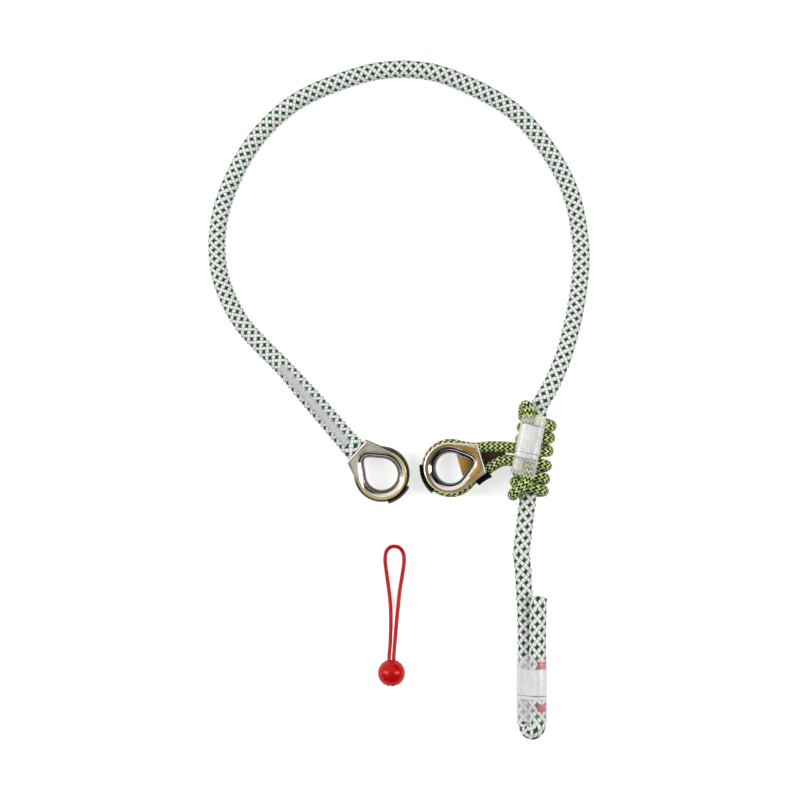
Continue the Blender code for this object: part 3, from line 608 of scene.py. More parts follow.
def strand_counts(weave, length):
    """Distances along a cord, and how many strands its braid has laid by each."""
    rows = np.arange(0, length + 0.001, 0.0005)
    pace = 1 / np.interp(rows, *zip(*weave.pitch))
    return rows, np.concatenate([[0], np.cumsum((pace[1:] + pace[:-1]) / 2 * np.diff(rows))])


def even(wide, high=None):
    """Half sizes that stay the same all along a cord."""
    return lambda rows: (np.full(len(rows), wide), np.full(len(rows), high or wide))


def braid_rows(course, start, end, weave):
    """Where a braided tube's rings of points lie along its course, and the strands by each."""
    distances, counts = strand_counts(weave, course.length)
    first, last = np.interp((start + 1e-4, end - 1e-4), distances, counts) * weave.fineness
    steps = np.arange(math.ceil(first), math.floor(last) + 1) / weave.fineness
    rows = np.concatenate([[start], np.interp(steps, counts, distances), [end]])
    return rows, np.interp(rows, distances, counts)


def close_end(vertices, faces, ring, way, along, dome):
    """Closes a tube over a ring of its points, flat or domed. The way is -1 at its first end."""
    edge = np.array([vertices[k] for k in ring])
    middle = edge.mean(axis=0)
    for share in DOME_STEPS if dome else ():
        nearer = list(range(len(vertices), len(vertices) + len(ring)))
        rise = way * dome * math.sqrt(1 - share**2) * along
        vertices.extend(middle + (edge - middle) * share + rise)
        for k in range(len(ring)):
            after = (k + 1) % len(ring)
            faces.append((ring[k], ring[after], nearer[after], nearer[k])[::way])
        ring = nearer
    faces.append(ring[::way])


def braid_tube(name, course, start, end, weave, half, dome=0.0, lean=0.0):
    """A tube with a braid's relief from one place on its course to another.

    half gives its half sizes, sideways and up, at distances along the course. The last end
    may be rounded by a dome and lean over sideways. Its end faces have the second material."""
    rows, laid = braid_rows(course, start, end, weave)
    columns = weave.strands * weave.fineness
    centre, along, up, side = course.at(rows)
    turns = np.arange(columns) * math.tau / columns
    x, y = np.meshgrid(np.arange(columns) / weave.fineness, laid)
    relief = weave.depth * (1 - strand_heights(x, y, weave))
    wide, high = half(rows)
    out = np.cos(turns)[None, :, None] * side[:, None] * (wide[:, None] - relief)[..., None]
    out = out + np.sin(turns)[None, :, None] * up[:, None] * (high[:, None] - relief)[..., None]
    ahead = lean * np.clip((rows - end) / LEAN_LENGTH + 1, 0, 1)[:, None] * np.cos(turns)[None, :]
    points = centre[:, None] + out + (ahead * wide[:, None])[..., None] * along[:, None]
    vertices = list(points.reshape(-1, 3))
    count, around = len(rows), np.arange(columns)
    base = np.arange(count - 1)[:, None] * columns
    first, after = (base + around).ravel(), (base + (around + 1) % columns).ravel()
    faces = np.stack([first, after, after + columns, first + columns], axis=1).tolist()
    sides = len(faces)
    ring = list(range(columns))
    close_end(vertices, faces, ring, -1, along[0], 0)
    ring = [(count - 1) * columns + k for k in ring]
    close_end(vertices, faces, ring, 1, along[-1], dome)
    uv_x = np.stack([x, x + 1 / weave.fineness, x + 1 / weave.fineness, x], axis=-1)[:-1]
    uv_y = np.stack([y[:-1], y[:-1], y[1:], y[1:]], axis=-1)
    uvs = np.stack([uv_x, uv_y], axis=-1).reshape(-1, 2)
    uvs = np.vstack([uvs, np.zeros((sum(map(len, faces[sides:])), 2))])
    mesh = bpy.data.meshes.new(name)
    mesh.from_pydata(np.array(vertices).tolist(), [], faces)
    layer = mesh.uv_layers.new(name="Braid")
    layer.data.foreach_set("uv", uvs.astype(np.float32).ravel())
    mesh.polygons.foreach_set("material_index", [0] * sides + [1] * (len(faces) - sides))
    return linked(name, mesh)


def plain_tube(name, line, radius, sides=8):
    """A round closed tube along a line."""
    course = Course(line)
    turns = np.arange(sides) * math.tau / sides
    centre, _, up, side = course.at(course.far)
    out = np.cos(turns)[None, :, None] * side[:, None] + np.sin(turns)[None, :, None] * up[:, None]
    points = (centre[:, None] + radius * out).reshape(-1, 3)
    faces = []
    for row in range(len(centre) - 1):
        for k in range(sides):
            a, b = row * sides + k, row * sides + (k + 1) % sides
            faces.append((a, b, b + sides, a + sides))
    faces.append(list(range(sides))[::-1])
    faces.append([len(points) - sides + k for k in range(sides)])
    mesh = bpy.data.meshes.new(name)
    mesh.from_pydata(points.tolist(), [], faces)
    return linked(name, mesh)


def path_points(course, start, end, gap=0.008):
    """Points along a stretch of a course."""
    rows = np.linspace(start, end, max(12, math.ceil((end - start) / gap)))
    return course.at(rows)[0].tolist()


# ---------------------------------------------------------------- materials


class Wiring:
    """Adds nodes to one tree and joins them, from left to right."""

    def __init__(self, tree):
        self.tree = tree
        self.column = 0

    def feed(self, socket, value):
        if isinstance(value, bpy.types.NodeSocket):
            self.tree.links.new(value, socket)
        elif value is not None:
            socket.default_value = value

    def node(self, kind, inputs=None, **settings):
        made = self.tree.nodes.new(kind)
        self.column += 1
        made.location = (170 * self.column, -60 * (self.column % 5))
        for key, value in settings.items():
            setattr(made, key, value)
        for key, value in (inputs or {}).items():
            self.feed(made.inputs[key], value)
        return made

    def math(self, operation, *values):
        made = self.node("ShaderNodeMath", operation=operation)
        for socket, value in zip(made.inputs, values):
            self.feed(socket, value)
        return made.outputs[0]

    def blend(self, share, first, second):
        made = self.node("ShaderNodeMix", data_type="RGBA")
        for index, value in ((0, share), (6, first), (7, second)):
            self.feed(made.inputs[index], value)
        return made.outputs[2]

    def patched(self, share, colour, factor):
        """A colour that is darker or lighter by a factor where the share is full."""
        return self.blend(share, (*colour, 1), tuple(factor * c for c in colour) + (1,))

    def ramp(self, value, low, high):
        """The value mapped from low..high to 0..1, kept inside them."""
        made = self.node("ShaderNodeMapRange", {"Value": value, "From Min": low, "From Max": high})
        return made.outputs[0]

    def noise(self, place, scale, detail=3.0, rough=0.55):
        made = self.node(
            "ShaderNodeTexNoise",
            {"Vector": place, "Scale": scale, "Detail": detail, "Roughness": rough},
        )
        return made.outputs[0]

    def stretched(self, place, scale, turn=(0, 0, 0)):
        made = self.node("ShaderNodeMapping", {"Vector": place, "Scale": scale, "Rotation": turn})
        return made.outputs[0]


def grey(depth):
    return (depth, depth, depth, 1)


def new_material(name):
    """An empty node material, its wiring, its shader and the object's coordinates."""
    made = bpy.data.materials.new(name)
    made.use_nodes = True
    made.node_tree.nodes.clear()
    wiring = Wiring(made.node_tree)
    place = wiring.node("ShaderNodeTexCoord").outputs["Object"]
    shader = made.node_tree.nodes.new("ShaderNodeBsdfPrincipled")
    shader.location = (3200, 0)
    output = made.node_tree.nodes.new("ShaderNodeOutputMaterial")
    output.location = (3500, 0)
    made.node_tree.links.new(shader.outputs[0], output.inputs[0])
    return made, wiring, shader, place


def settle(wiring, shader, colour=None, roughness=None, bump=None, distance=0.0002, **constants):
    """Joins a finish's changing values to the shader and sets its constant ones."""
    wiring.feed(shader.inputs["Base Color"], colour)
    wiring.feed(shader.inputs["Roughness"], roughness)
    if bump is not None:
        relief = wiring.node("ShaderNodeBump", {"Height": bump, "Distance": distance})
        wiring.feed(shader.inputs["Normal"], relief.outputs[0])
    for key, value in constants.items():
        shader.inputs[key.replace("_", " ").title().replace("Ior", "IOR")].default_value = value


def new_group(name, given, told):
    """An empty node group that is given a place and some numbers, and tells some numbers."""
    tree = bpy.data.node_groups.new(name, "ShaderNodeTree")
    tree.interface.new_socket("Place", in_out="INPUT", socket_type="NodeSocketVector")
    for way, names in (("INPUT", given), ("OUTPUT", told)):
        for socket in names:
            tree.interface.new_socket(socket, in_out=way, socket_type="NodeSocketFloat")
    wiring = Wiring(tree)
    return tree, wiring, wiring.node("NodeGroupInput").outputs


def braid_group():
    """Which strand of a braid lies on top at a place, how high it stands, and where shade is
    painted along its strands' sides and seams.
    """
    found = bpy.data.node_groups.get("Braid")
    if found:
        return found
    tree, w, given = new_group(
        "Braid", ("Repeat", "Phase", "Lift", "Width"),
        ("First On Top", "Strand", "Off Centre", "Height", "Edge", "Along"),
    )
    split = w.node("ShaderNodeSeparateXYZ", {"Vector": given["Place"]}).outputs
    p, q = w.math("SUBTRACT", split[0], split[1]), w.math("ADD", split[0], split[1])
    first, second = w.math("ROUND", p), w.math("ROUND", q)
    pace = w.math("DIVIDE", math.tau, given["Repeat"])
    heights, offs = [], []
    for own, index, other, sign in ((p, first, q, 1), (q, second, p, -1)):
        off = w.math("SUBTRACT", own, index)
        turn = w.math("SUBTRACT", w.math("ADD", other, index), given["Phase"])
        wave = w.math("COSINE", w.math("MULTIPLY", pace, turn))
        rise = w.math("MULTIPLY_ADD", wave, 0.5 * sign, 0.5)
        share = w.math("DIVIDE", w.math("MULTIPLY", off, 2.0), given["Width"])
        left = w.math("SUBTRACT", 1.0, w.math("MULTIPLY", share, share))
        crown = w.math("SQRT", w.math("MAXIMUM", left, 0.0))
        body = w.math("MULTIPLY", crown, w.math("SUBTRACT", 1.0, given["Lift"]))
        height = w.math("MULTIPLY_ADD", rise, given["Lift"], body)
        inside = w.math("GREATER_THAN", left, 0.0)
        heights.append(w.math("MULTIPLY", height, inside))
        offs.append(off)
    on_top = w.math("GREATER_THAN", heights[0], heights[1])
    under = w.math("SUBTRACT", 1.0, on_top)

    def chosen(one, other):
        return w.math("ADD", w.math("MULTIPLY", one, on_top), w.math("MULTIPLY", other, under))

    off = chosen(*offs)
    near = w.math("ABSOLUTE", w.math("SUBTRACT", *heights))
    # Edge: where shade is painted, towards a strand's sides and where two strands meet at like
    # height
    side = w.ramp(w.math("ABSOLUTE", off), 0.24, 0.48)
    seam = w.ramp(near, 0.20, 0.0)
    w.node("NodeGroupOutput", {
        "First On Top": on_top, "Strand": chosen(first, second), "Off Centre": off,
        "Height": w.math("MAXIMUM", *heights), "Edge": w.math("MAXIMUM", side, seam),
        "Along": chosen(q, p),
    })
    return tree


def braid_reading(wiring, weave):
    """Places the braid group for one weave and returns its outputs."""
    place = wiring.node("ShaderNodeUVMap", uv_map="Braid").outputs[0]
    given = {
        "Place": place, "Repeat": weave.repeat, "Phase": weave.phase, "Lift": weave.lift,
        "Width": weave.width,
    }
    return wiring.node("ShaderNodeGroup", given, node_tree=braid_group()).outputs


def yarn_lines(wiring, braid, count):
    """Fine yarns that run along each strand, from 0 in a groove to 1 on a yarn."""
    turn = wiring.math("MULTIPLY", braid["Off Centre"], math.pi * count)
    skew = wiring.math("MULTIPLY", braid["Along"], 0.6)
    return wiring.math("ABSOLUTE", wiring.math("COSINE", wiring.math("ADD", turn, skew)))


def fleck_mask(wiring, braid):
    """1 on the rope's green flecks: every second strand of one hand, where it is on top."""
    odd = wiring.math("ABSOLUTE", wiring.math("MODULO", braid["Strand"], 2.0))
    return wiring.math("MULTIPLY", braid["First On Top"], wiring.math("LESS_THAN", odd, 0.5))


def rope_material(look):
    """White rope with green flecks: every second strand of one hand is green. Shade is painted
    into the grooves between its yarns, along its strands' sides and in the seams between them.
    """
    made, w, shader, place = new_material("white_green_rope")
    braid = braid_reading(w, ROPE_WEAVE)
    fleck = fleck_mask(w, braid)
    yarns = yarn_lines(w, braid, 3)
    patchy = w.noise(place, 160.0)
    groove = w.math("SUBTRACT", 1.0, yarns)
    white = w.patched(patchy, look.ground, 0.96)
    # painted shade in the grooves between the yarns
    white = w.blend(w.math("MULTIPLY", groove, 0.05), white, (0.30, 0.28, 0.28, 1))
    # painted shade along each strand's sides and in the seams between strands
    white = w.blend(w.math("MULTIPLY", braid["Edge"], 0.90), white, (*look.seam, 1))
    # the same painted shade on the green flecks: in the grooves, then at their sides and seams
    green = w.blend(w.math("MULTIPLY", groove, 0.60), (*look.fleck, 1), (0.001, 0.022, 0.009, 1))
    green = w.blend(w.math("MULTIPLY", braid["Edge"], 0.60), green, (0.001, 0.012, 0.006, 1))
    colour = w.blend(fleck, white, green)
    fuzz = w.noise(place, 2600.0, 2.0)
    bump = w.math("MULTIPLY_ADD", yarns, 0.7, w.math("MULTIPLY", fuzz, 0.35))
    settle(
        w, shader, colour, w.ramp(patchy, -1.2, 1.6), bump, 0.00018,
        sheen_weight=0.02, sheen_roughness=0.5, specular_ior_level=0.12,
    )
    return made


def coated_material(look):
    """Black coat over the rope in the large ring's groove, worn through on its flecks."""
    made, w, shader, place = new_material("coated_rope")
    braid = braid_reading(w, ROPE_WEAVE)
    patchy = w.noise(place, 260.0)
    worn = w.math("MULTIPLY", fleck_mask(w, braid), w.ramp(patchy, 0.38, 0.52))
    colour = w.blend(worn, w.patched(patchy, look.coat, 2.2), (*look.fleck, 1))
    settle(
        w, shader, colour, w.ramp(patchy, -0.8, 1.8), braid["Height"], 0.00030,
        specular_ior_level=0.15, coat_weight=0.08, coat_roughness=0.25,
    )
    return made


def cord_material(look):
    """Hitch cord: yellow-green, black, bright and dark green strands in turn."""
    made, w, shader, place = new_material("yellow_green_cord")
    braid = braid_reading(w, CORD_WEAVE)
    share = w.math("DIVIDE", w.math("FLOORED_MODULO", braid["Strand"], 4.0), 4.0)
    share = w.math("ADD", share, 0.125)
    ramp = w.node("ShaderNodeValToRGB", {"Fac": share})
    ramp.color_ramp.interpolation = "CONSTANT"
    stops = (look.light, look.dark, look.bright, look.deep)
    while len(ramp.color_ramp.elements) < 4:
        ramp.color_ramp.elements.new(0.5)
    for k, colour in enumerate(stops):
        ramp.color_ramp.elements[k].position = k / 4
        ramp.color_ramp.elements[k].color = (*colour, 1)
    patchy = w.noise(place, 300.0)
    shadow = w.math("MULTIPLY", braid["Edge"], 0.55)
    colour = w.blend(shadow, ramp.outputs[0], (0.006, 0.014, 0.006, 1))
    colour = w.blend(w.math("MULTIPLY", patchy, 0.06), colour, (0.04, 0.07, 0.02, 1))
    fuzz = w.noise(place, 3600.0, 2.0)
    bump = w.math("MULTIPLY_ADD", braid["Height"], 1.0, w.math("MULTIPLY", fuzz, 0.3))
    settle(
        w, shader, colour, w.ramp(patchy, -1.0, 1.7), bump, 0.00022,
        sheen_weight=0.01, sheen_roughness=0.5, specular_ior_level=0.10,
    )
    return made


def pull_material(look):
    """Red retrieval cord, with shade painted along its strands' sides and seams."""
    made, w, shader, place = new_material("red_cord")
    braid = braid_reading(w, PULL_WEAVE)
    patchy = w.noise(place, 400.0)
    colour = w.patched(patchy, look.cord, 0.6)
    # painted shade along the strands' sides and seams
    colour = w.blend(w.math("MULTIPLY", braid["Edge"], 0.25), colour, (0.10, 0.002, 0.004, 1))
    settle(
        w, shader, colour, w.ramp(patchy, -0.3, 2.0), braid["Height"], 0.00008,
        specular_ior_level=0.15, coat_weight=0.10, coat_roughness=0.25,
    )
    return made


def cut_material():
    """A cord's cut end: packed fibre ends, sealed by heat, a few of them green."""
    made, w, shader, place = new_material("cut_fibres")
    cells = w.node("ShaderNodeTexVoronoi", {"Vector": place, "Scale": 1400.0}).outputs[0]
    patchy = w.noise(place, 500.0)
    colour = w.blend(w.ramp(cells, 0.1, 0.8), (0.72, 0.71, 0.67, 1), (0.30, 0.30, 0.28, 1))
    colour = w.blend(w.ramp(patchy, 0.62, 0.75), colour, (0.04, 0.16, 0.08, 1))
    settle(w, shader, colour, w.ramp(patchy, -1.0, 1.6), cells, 0.0004)
    return made


def wear_group():
    """Wear on metal: where it is rubbed bright, and fine scratches, from 0 to 1."""
    found = bpy.data.node_groups.get("Metal Wear")
    if found:
        return found
    tree, w, given = new_group("Metal Wear", ("Grain",), ("Rub", "Scratches", "Grain"))
    rub = w.ramp(w.noise(given["Place"], 90.0, 4.0), 0.42, 0.72)
    fine = w.noise(w.stretched(given["Place"], (1, 9, 1), (0, 0, 0.6)), 700.0, 2.0)
    other = w.noise(w.stretched(given["Place"], (8, 1, 1), (0, 0, 0.3)), 520.0, 2.0)
    scratches = w.ramp(w.math("MAXIMUM", fine, other), 0.64, 0.76)
    grain = w.noise(given["Place"], given["Grain"])
    w.node("NodeGroupOutput", {"Rub": rub, "Scratches": scratches, "Grain": grain})
    return tree


def metal_material(name, colour, rough, rubbed, spread=0.12, depth=0.00002, nose=None):
    """Anodised or polished alloy, rubbed in patches and finely scratched. A ring's nose half may
    take a painted warm reflection, a colour given after the ring's place and turn."""
    made, w, shader, place = new_material(name)
    given = {"Place": place, "Grain": 2400.0}
    wear = w.node("ShaderNodeGroup", given, node_tree=wear_group()).outputs
    tone = w.blend(w.math("MULTIPLY", wear["Rub"], 0.55), (*colour, 1), (*rubbed, 1))
    if nose:
        (centre, turn), end = nose
        moved = w.node("ShaderNodeMapping", {"Vector": place, "Location": tuple(-centre)})
        turned = w.stretched(moved.outputs[0], (1, 1, 1), (0, 0, -turn))
        ahead = w.node("ShaderNodeSeparateXYZ", {"Vector": turned}).outputs[0]
        # painted warm reflection over the ring's nose half
        tone = w.blend(w.ramp(ahead, -0.012, 0.002), tone, (*end, 1))
    tone = w.blend(w.math("MULTIPLY", wear["Scratches"], 0.4), tone, (*rubbed, 1))
    roughness = w.math("MULTIPLY_ADD", wear["Rub"], spread, rough)
    bump = w.math("MULTIPLY_ADD", wear["Scratches"], -0.6, wear["Grain"])
    settle(w, shader, tone, roughness, bump, depth, metallic=1.0)
    return made


def rubber_material(name, colour, rough, coat=0.0, scale=900.0, depth=0.00005, shine=0.15):
    """Moulded rubber or plastic: faintly uneven, with fine marks."""
    made, w, shader, place = new_material(name)
    patchy = w.noise(place, 120.0, 4.0)
    fine = w.noise(place, scale, 3.0)
    lighter = tuple(min(1, 1.3 * c + 0.002) for c in colour)
    tone = w.blend(w.ramp(patchy, 0.35, 0.75), (*colour, 1), (*lighter, 1))
    roughness = w.math("MULTIPLY_ADD", patchy, 0.16, rough - 0.08)
    settle(
        w, shader, tone, roughness, fine, depth, specular_ior_level=shine, coat_weight=coat,
        coat_roughness=0.12,
    )
    return made


def plain_material(name, colour, factor, scale, limits, wrinkles=None, **constants):
    """Tape or thread of one colour, uneven in patches.

    The limits are what the patches would have to be for a roughness of 0 and of 1."""
    made, w, shader, place = new_material(name)
    patchy = w.noise(place, scale)
    tone = w.patched(patchy, colour, factor)
    bump = w.noise(place, wrinkles) if wrinkles else patchy
    settle(w, shader, tone, w.ramp(patchy, *limits), bump, 0.0002, **constants)
    return made


def label_material(name, look, axis, rules):
    """White glossy label, bare but for plain rules across it, each a place and a depth."""
    made, w, shader, place = new_material(name)
    turned = w.stretched(place, (1, 1, 1), (0, 0, axis))
    along = w.node("ShaderNodeSeparateXYZ", {"Vector": turned}).outputs[1]
    patchy = w.noise(place, 70.0)
    tone = w.patched(patchy, look.label, 0.94)
    for at, depth in rules:
        off = w.math("ABSOLUTE", w.math("SUBTRACT", along, at))
        drawn = w.math("MULTIPLY", w.math("LESS_THAN", off, RULE_HALF), depth)
        tone = w.blend(drawn, tone, (0.035, 0.045, 0.040, 1))
    wrinkles = w.noise(w.stretched(place, (1, 0.25, 1)), 240.0)
    settle(
        w, shader, tone, w.ramp(patchy, -0.6, 2.4), wrinkles, 0.0004,
        coat_weight=0.8, coat_roughness=0.12,
    )
    return made


def film_material(look):
    """Clear shrunk film: nearly unseen face on, milky where it turns away, and clearer over
    the right side of the tail."""
    made, w, shader, place = new_material("clear_film")
    facing = w.node("ShaderNodeLayerWeight", {"Blend": 0.25}).outputs["Facing"]
    patchy = w.noise(w.stretched(place, (1, 0.4, 1)), 130.0)
    ridges = w.math("ABSOLUTE", w.math("SUBTRACT", w.noise(place, 85.0, 2.0), 0.5))
    crease = w.ramp(ridges, 0.030, 0.004)
    body = w.math("MULTIPLY_ADD", patchy, 0.20, look.film)
    body = w.math("MULTIPLY_ADD", crease, 0.10, body)
    split = w.node("ShaderNodeSeparateXYZ", {"Vector": place}).outputs
    clearer = w.math("MULTIPLY", w.ramp(split[0], *CLEARER_X), w.ramp(split[1], *CLEARER_Y))
    body = w.math("MULTIPLY", body, w.math("MULTIPLY_ADD", clearer, -0.65, 1.0))
    alpha = w.math("MINIMUM", w.math("MULTIPLY_ADD", facing, 0.30, body), 0.70)
    tone = w.blend(patchy, (0.92, 0.92, 0.90, 1), (0.76, 0.77, 0.75, 1))
    wrinkles = w.noise(w.stretched(place, (1, 0.3, 1)), 150.0, 2.0)
    settle(
        w, shader, tone, w.ramp(patchy, -0.2, 4.0), wrinkles, 0.0003, coat_weight=1.0,
        coat_roughness=0.08,
    )
    w.feed(shader.inputs["Alpha"], alpha)
    return made


def material(name):
    """A material that another operator has made."""
    found = bpy.data.materials.get(name)
    if found is None:
        raise RuntimeError(f"the material {name} isn't made yet")
    return found


# ---------------------------------------------------------------- settings


def colour_of(name, description, default):
    return bpy.props.FloatVectorProperty(
        name=name, description=description, default=default, subtype="COLOR", size=3,
        min=0, max=1,
    )


def length_of(name, description, default):
    return bpy.props.FloatProperty(
        name=name, description=description, default=default, unit="LENGTH", min=0, precision=5
    )


def share_of(name, description, default):
    return bpy.props.FloatProperty(
        name=name, description=description, default=default, subtype="FACTOR", min=0, max=1
    )


class SaverRopeLook(bpy.types.PropertyGroup):
    ground: colour_of("Rope ground", "Colour of the rope's plain strands", (0.94, 0.93, 0.92))
    fleck: colour_of("Rope fleck", "Colour of the rope's flecks", (0.001, 0.115, 0.030))
    # painted shade along the strands' sides and between them
    seam: colour_of("Rope seams", "Colour between the rope's strands", (0.20, 0.15, 0.16))
    coat: colour_of("Rope coat", "Coat on the rope in the large ring", (0.008, 0.011, 0.009))
    thread: colour_of("Thread", "Colour of the splice's stitches", (0.74, 0.74, 0.74))
    thread_r: length_of("Thread radius", "Half the stitching thread's thickness", 0.00045)
    stitch: length_of("Stitch advance", "From one crossing stitch to the next", 0.00080)
    stitch_half: length_of("Stitch half width", "Half the stitched band's width", 0.0046)
    stitch_shift: length_of("Stitch shift", "How far the band lies off the rope's middle", 0.0016)


class SaverCordLook(bpy.types.PropertyGroup):
    light: colour_of("Light strands", "The hitch cord's lightest strands", (0.86, 0.86, 0.40))
    dark: colour_of("Black strands", "The hitch cord's black strands", (0.002, 0.003, 0.002))
    bright: colour_of("Bright strands", "The hitch cord's bright strands", (0.46, 0.66, 0.17))
    deep: colour_of("Green strands", "The hitch cord's dark green strands", (0.002, 0.034, 0.009))
    tape: colour_of("End tape", "Colour of the tape round the cord's ends", (0.78, 0.70, 0.56))
    wedge: colour_of("Wedge", "Colour of the wedge between the legs", (0.026, 0.014, 0.006))
    swell: length_of("Swell", "How much the soft cord fills the gaps round it", 0.00012)


class SaverRingLook(bpy.types.PropertyGroup):
    large: colour_of("Large ring", "Anodised colour of the large ring", (0.66, 0.60, 0.50))
    # painted warm reflection on the large ring's nose half, over its level faces and edges alike
    large_nose_reflection: colour_of("Large ring's edge", "Colour of its rounded edges", (0.86, 0.62, 0.22))
    small: colour_of("Small ring", "Anodised colour of the small ring", (0.30, 0.18, 0.040))
    small_edge: colour_of("Small ring's edge", "Colour of its rounded edges", (0.78, 0.72, 0.62))
    chamfer: colour_of("Throat edges", "Colour of the edges by the throat", (0.95, 0.94, 0.92))
    polish: colour_of("Polished lip", "Colour of the polished lips", (0.86, 0.85, 0.84))
    # painted dark reflection: the steep bore is the same polished metal as the lips
    bore: colour_of("Bore", "Colour of the steep part of the bores", (0.07, 0.065, 0.06))
    guard: colour_of("Guards", "Colour of the black guards", (0.004, 0.004, 0.005))
    edge: length_of("Edge rounding", "Width of the rings' rounded edges", 0.0005)
    throat_edge: length_of("Throat edge", "Width of the rings' edges by the throat", 0.0011)


class SaverSleeveLook(bpy.types.PropertyGroup):
    label: colour_of("Label", "Colour of the labels", (0.80, 0.80, 0.79))
    mark: colour_of("Marks", "Colour of the tape under the tail's film", (0.60, 0.012, 0.045))
    film: share_of("Film", "How opaque the film is where it faces the eye", 0.09)
    waist: length_of("Waist", "How far the film pulls in between the two cords", 0.0010)


class SaverBallLook(bpy.types.PropertyGroup):
    ball: colour_of("Ball", "Colour of the ball", (0.46, 0.002, 0.002))
    cord: colour_of("Pull cord", "Colour of the retrieval cord", (0.62, 0.003, 0.005))
    edge: length_of("Ball's edges", "Rounding of the bore's and the recess's edges", 0.0006)


class SaverStageLook(bpy.types.PropertyGroup):
    camera_height: length_of("Camera height", "The camera's height over the surface", 3.01)
    frame_width: length_of("Frame width", "What the picture is wide, at the rope's height", 0.72)
    floor: colour_of("Floor", "Colour of the surface", (0.72, 0.72, 0.72))
    lift: share_of("Floor lift", "White that the camera sees on top of the floor", 0.62)
    left: bpy.props.FloatProperty(
        name="Left lamp", description="Lamp on the left", default=42.0, unit="POWER"
    )
    right: bpy.props.FloatProperty(
        name="Right lamp", description="Lamp on the right", default=54.0, unit="POWER"
    )
    sky: share_of("Sky", "Strength of the light from all round", 0.90)


LOOKS = {
    "saver_rope": SaverRopeLook,
    "saver_cord": SaverCordLook,
    "saver_rings": SaverRingLook,
    "saver_sleeves": SaverSleeveLook,
    "saver_ball": SaverBallLook,
    "saver_stage": SaverStageLook,
}


# ---------------------------------------------------------------- pieces


def take_place(made, body, slot, *nodes):
    """Attaches a piece to what it moves with, and hides the CAD nodes it stands for. Its slot is
    not used.

    A piece without a body moves with nothing."""
    if body:
        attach(made, body)
    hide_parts(*nodes)
    return made


def add_copy(node, name, body, slot, finish, **shape):
    """Adds a node's finer copy in one finish."""
    return take_place(dress(refined(node, name, **shape), finish), body, slot, node)


class SAVER_OT_camera(bpy.types.Operator):
    """Sets the camera straight over the part, as the photograph was taken"""

    bl_idname = "saver.camera"
    bl_label = "Camera"

    def execute(self, context):
        look = context.scene.saver_stage
        at = (CAMERA_X, 0, look.camera_height)
        bpy.ops.object.camera_add(location=at, rotation=(0, 0, 0))
        camera = context.object
        camera.name = "overhead_camera"
        camera.data.sensor_width = SENSOR_WIDTH
        camera.data.lens = SENSOR_WIDTH * (look.camera_height - FRAME_LEVEL) / look.frame_width
        camera.data.clip_end = 50
        context.scene.camera = camera
        return {"FINISHED"}


class SAVER_OT_main_rope(bpy.types.Operator):
    """Braids the main rope: left side, crown, right side, folded tail, and eye"""

    bl_idname = "saver.main_rope"
    bl_label = "Main rope"

    def execute(self, context):
        look = context.scene.saver_rope
        cover, cut = rope_material(look), cut_material()
        course = rope_course()
        top = course.nearest(in_hitch(0, STRAIGHT_ABOVE, 0))
        bottom = course.nearest(in_hitch(0, -STRAIGHT_BELOW, 0))
        stops = [*NECK_AT, top - 0.01, top, bottom + 0.03, bottom + 0.04]
        sizes = [*NECK_RADII, ROPE_R, STRAIGHT_R, STRAIGHT_R, TAIL_R]

        def half(rows):
            wide = np.interp(rows, stops, sizes)
            return wide, wide

        for name, start, end, body, nodes in (
            ("rope_left", 0, CROWN_FROM, "eye_side", ("rope_splice", "rope_left_run")),
            ("rope_crown_bend", CROWN_FROM, CROWN_TO, None, ("rope_crown",)),
            ("rope_right", CROWN_TO, bottom, "rope", ("rope_right_run", "rope_hitch_stretch")),
            ("rope_folded_tail", bottom, course.length, "rope", ("rope_tail",)),
        ):
            is_tail = end == course.length
            shape = (CUT_DOME, CUT_LEAN) if is_tail else ()
            made = braid_tube(name, course, start, end, ROPE_WEAVE, half, *shape)
            dress(made, cover, cut)
            if not body:
                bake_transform(made)
            take_place(made, body, "white_green_rope", *nodes)
            path = path_points(course, start, end)

        way, half = eye_course(), even(EYE_RADIAL, EYE_AXIAL)
        eye = braid_tube("rope_eye_turn", way, 0, way.length, EYE_WEAVE, half)
        take_place(dress(eye, coated_material(look), cut), "eye_side", "coated_rope", "rope_eye")
        return {"FINISHED"}


class SAVER_OT_hitch_cord(bpy.types.Operator):
    """Braids the hitch cord: two coils, two legs, and the turn round the small ring"""

    bl_idname = "saver.hitch_cord"
    bl_label = "Hitch cord"

    def execute(self, context):
        look = context.scene.saver_cord
        cover, cut = cord_material(look), material("cut_fibres")
        course, cuts = hitch_course()
        pieces = (
            ("coil_upper", "hitch", "hitch_coil_upper"),
            ("leg_upper", None, "hitch_leg_upper"),
            ("cord_eye_turn", "ring", "hitch_cord_eye"),
            ("leg_lower", None, "hitch_leg_lower"),
            ("coil_lower", "hitch", "hitch_coil_lower"),
        )
        for (name, body, node), start, end in zip(pieces, cuts, cuts[1:]):
            made = braid_tube(name, course, start, end, CORD_WEAVE, even(CORD_R + look.swell))
            dress(made, cover, cut)
            if not body:
                near, far = course.at(np.array([start, end]))[0]
                if near[0] < far[0]:
                    near, far = far, near
                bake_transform(made)
            take_place(made, body, "yellow_green_cord", node)
        return {"FINISHED"}


class SAVER_OT_pull_cord(bpy.types.Operator):
    """Braids the retrieval cord's loop and the knot in the ball's recess"""

    bl_idname = "saver.pull_cord"
    bl_label = "Retrieval cord"

    def execute(self, context):
        cover, cut = pull_material(context.scene.saver_ball), material("cut_fibres")
        course, tie, half = pull_course(), knot_course(), even(PULL_CORD_R)
        loop = braid_tube("pull_cord", course, 0, course.length, PULL_WEAVE, half)
        take_place(dress(loop, cover, cut), "retrieval", "red_cord", "retrieval_cord")
        path = path_points(course, 0, course.length, 0.005)
        knot = braid_tube("pull_knot", tie, 0, tie.length, PULL_WEAVE, half)
        take_place(dress(knot, cover, cut), "retrieval", "red_cord", "retrieval_knot")
        return {"FINISHED"}


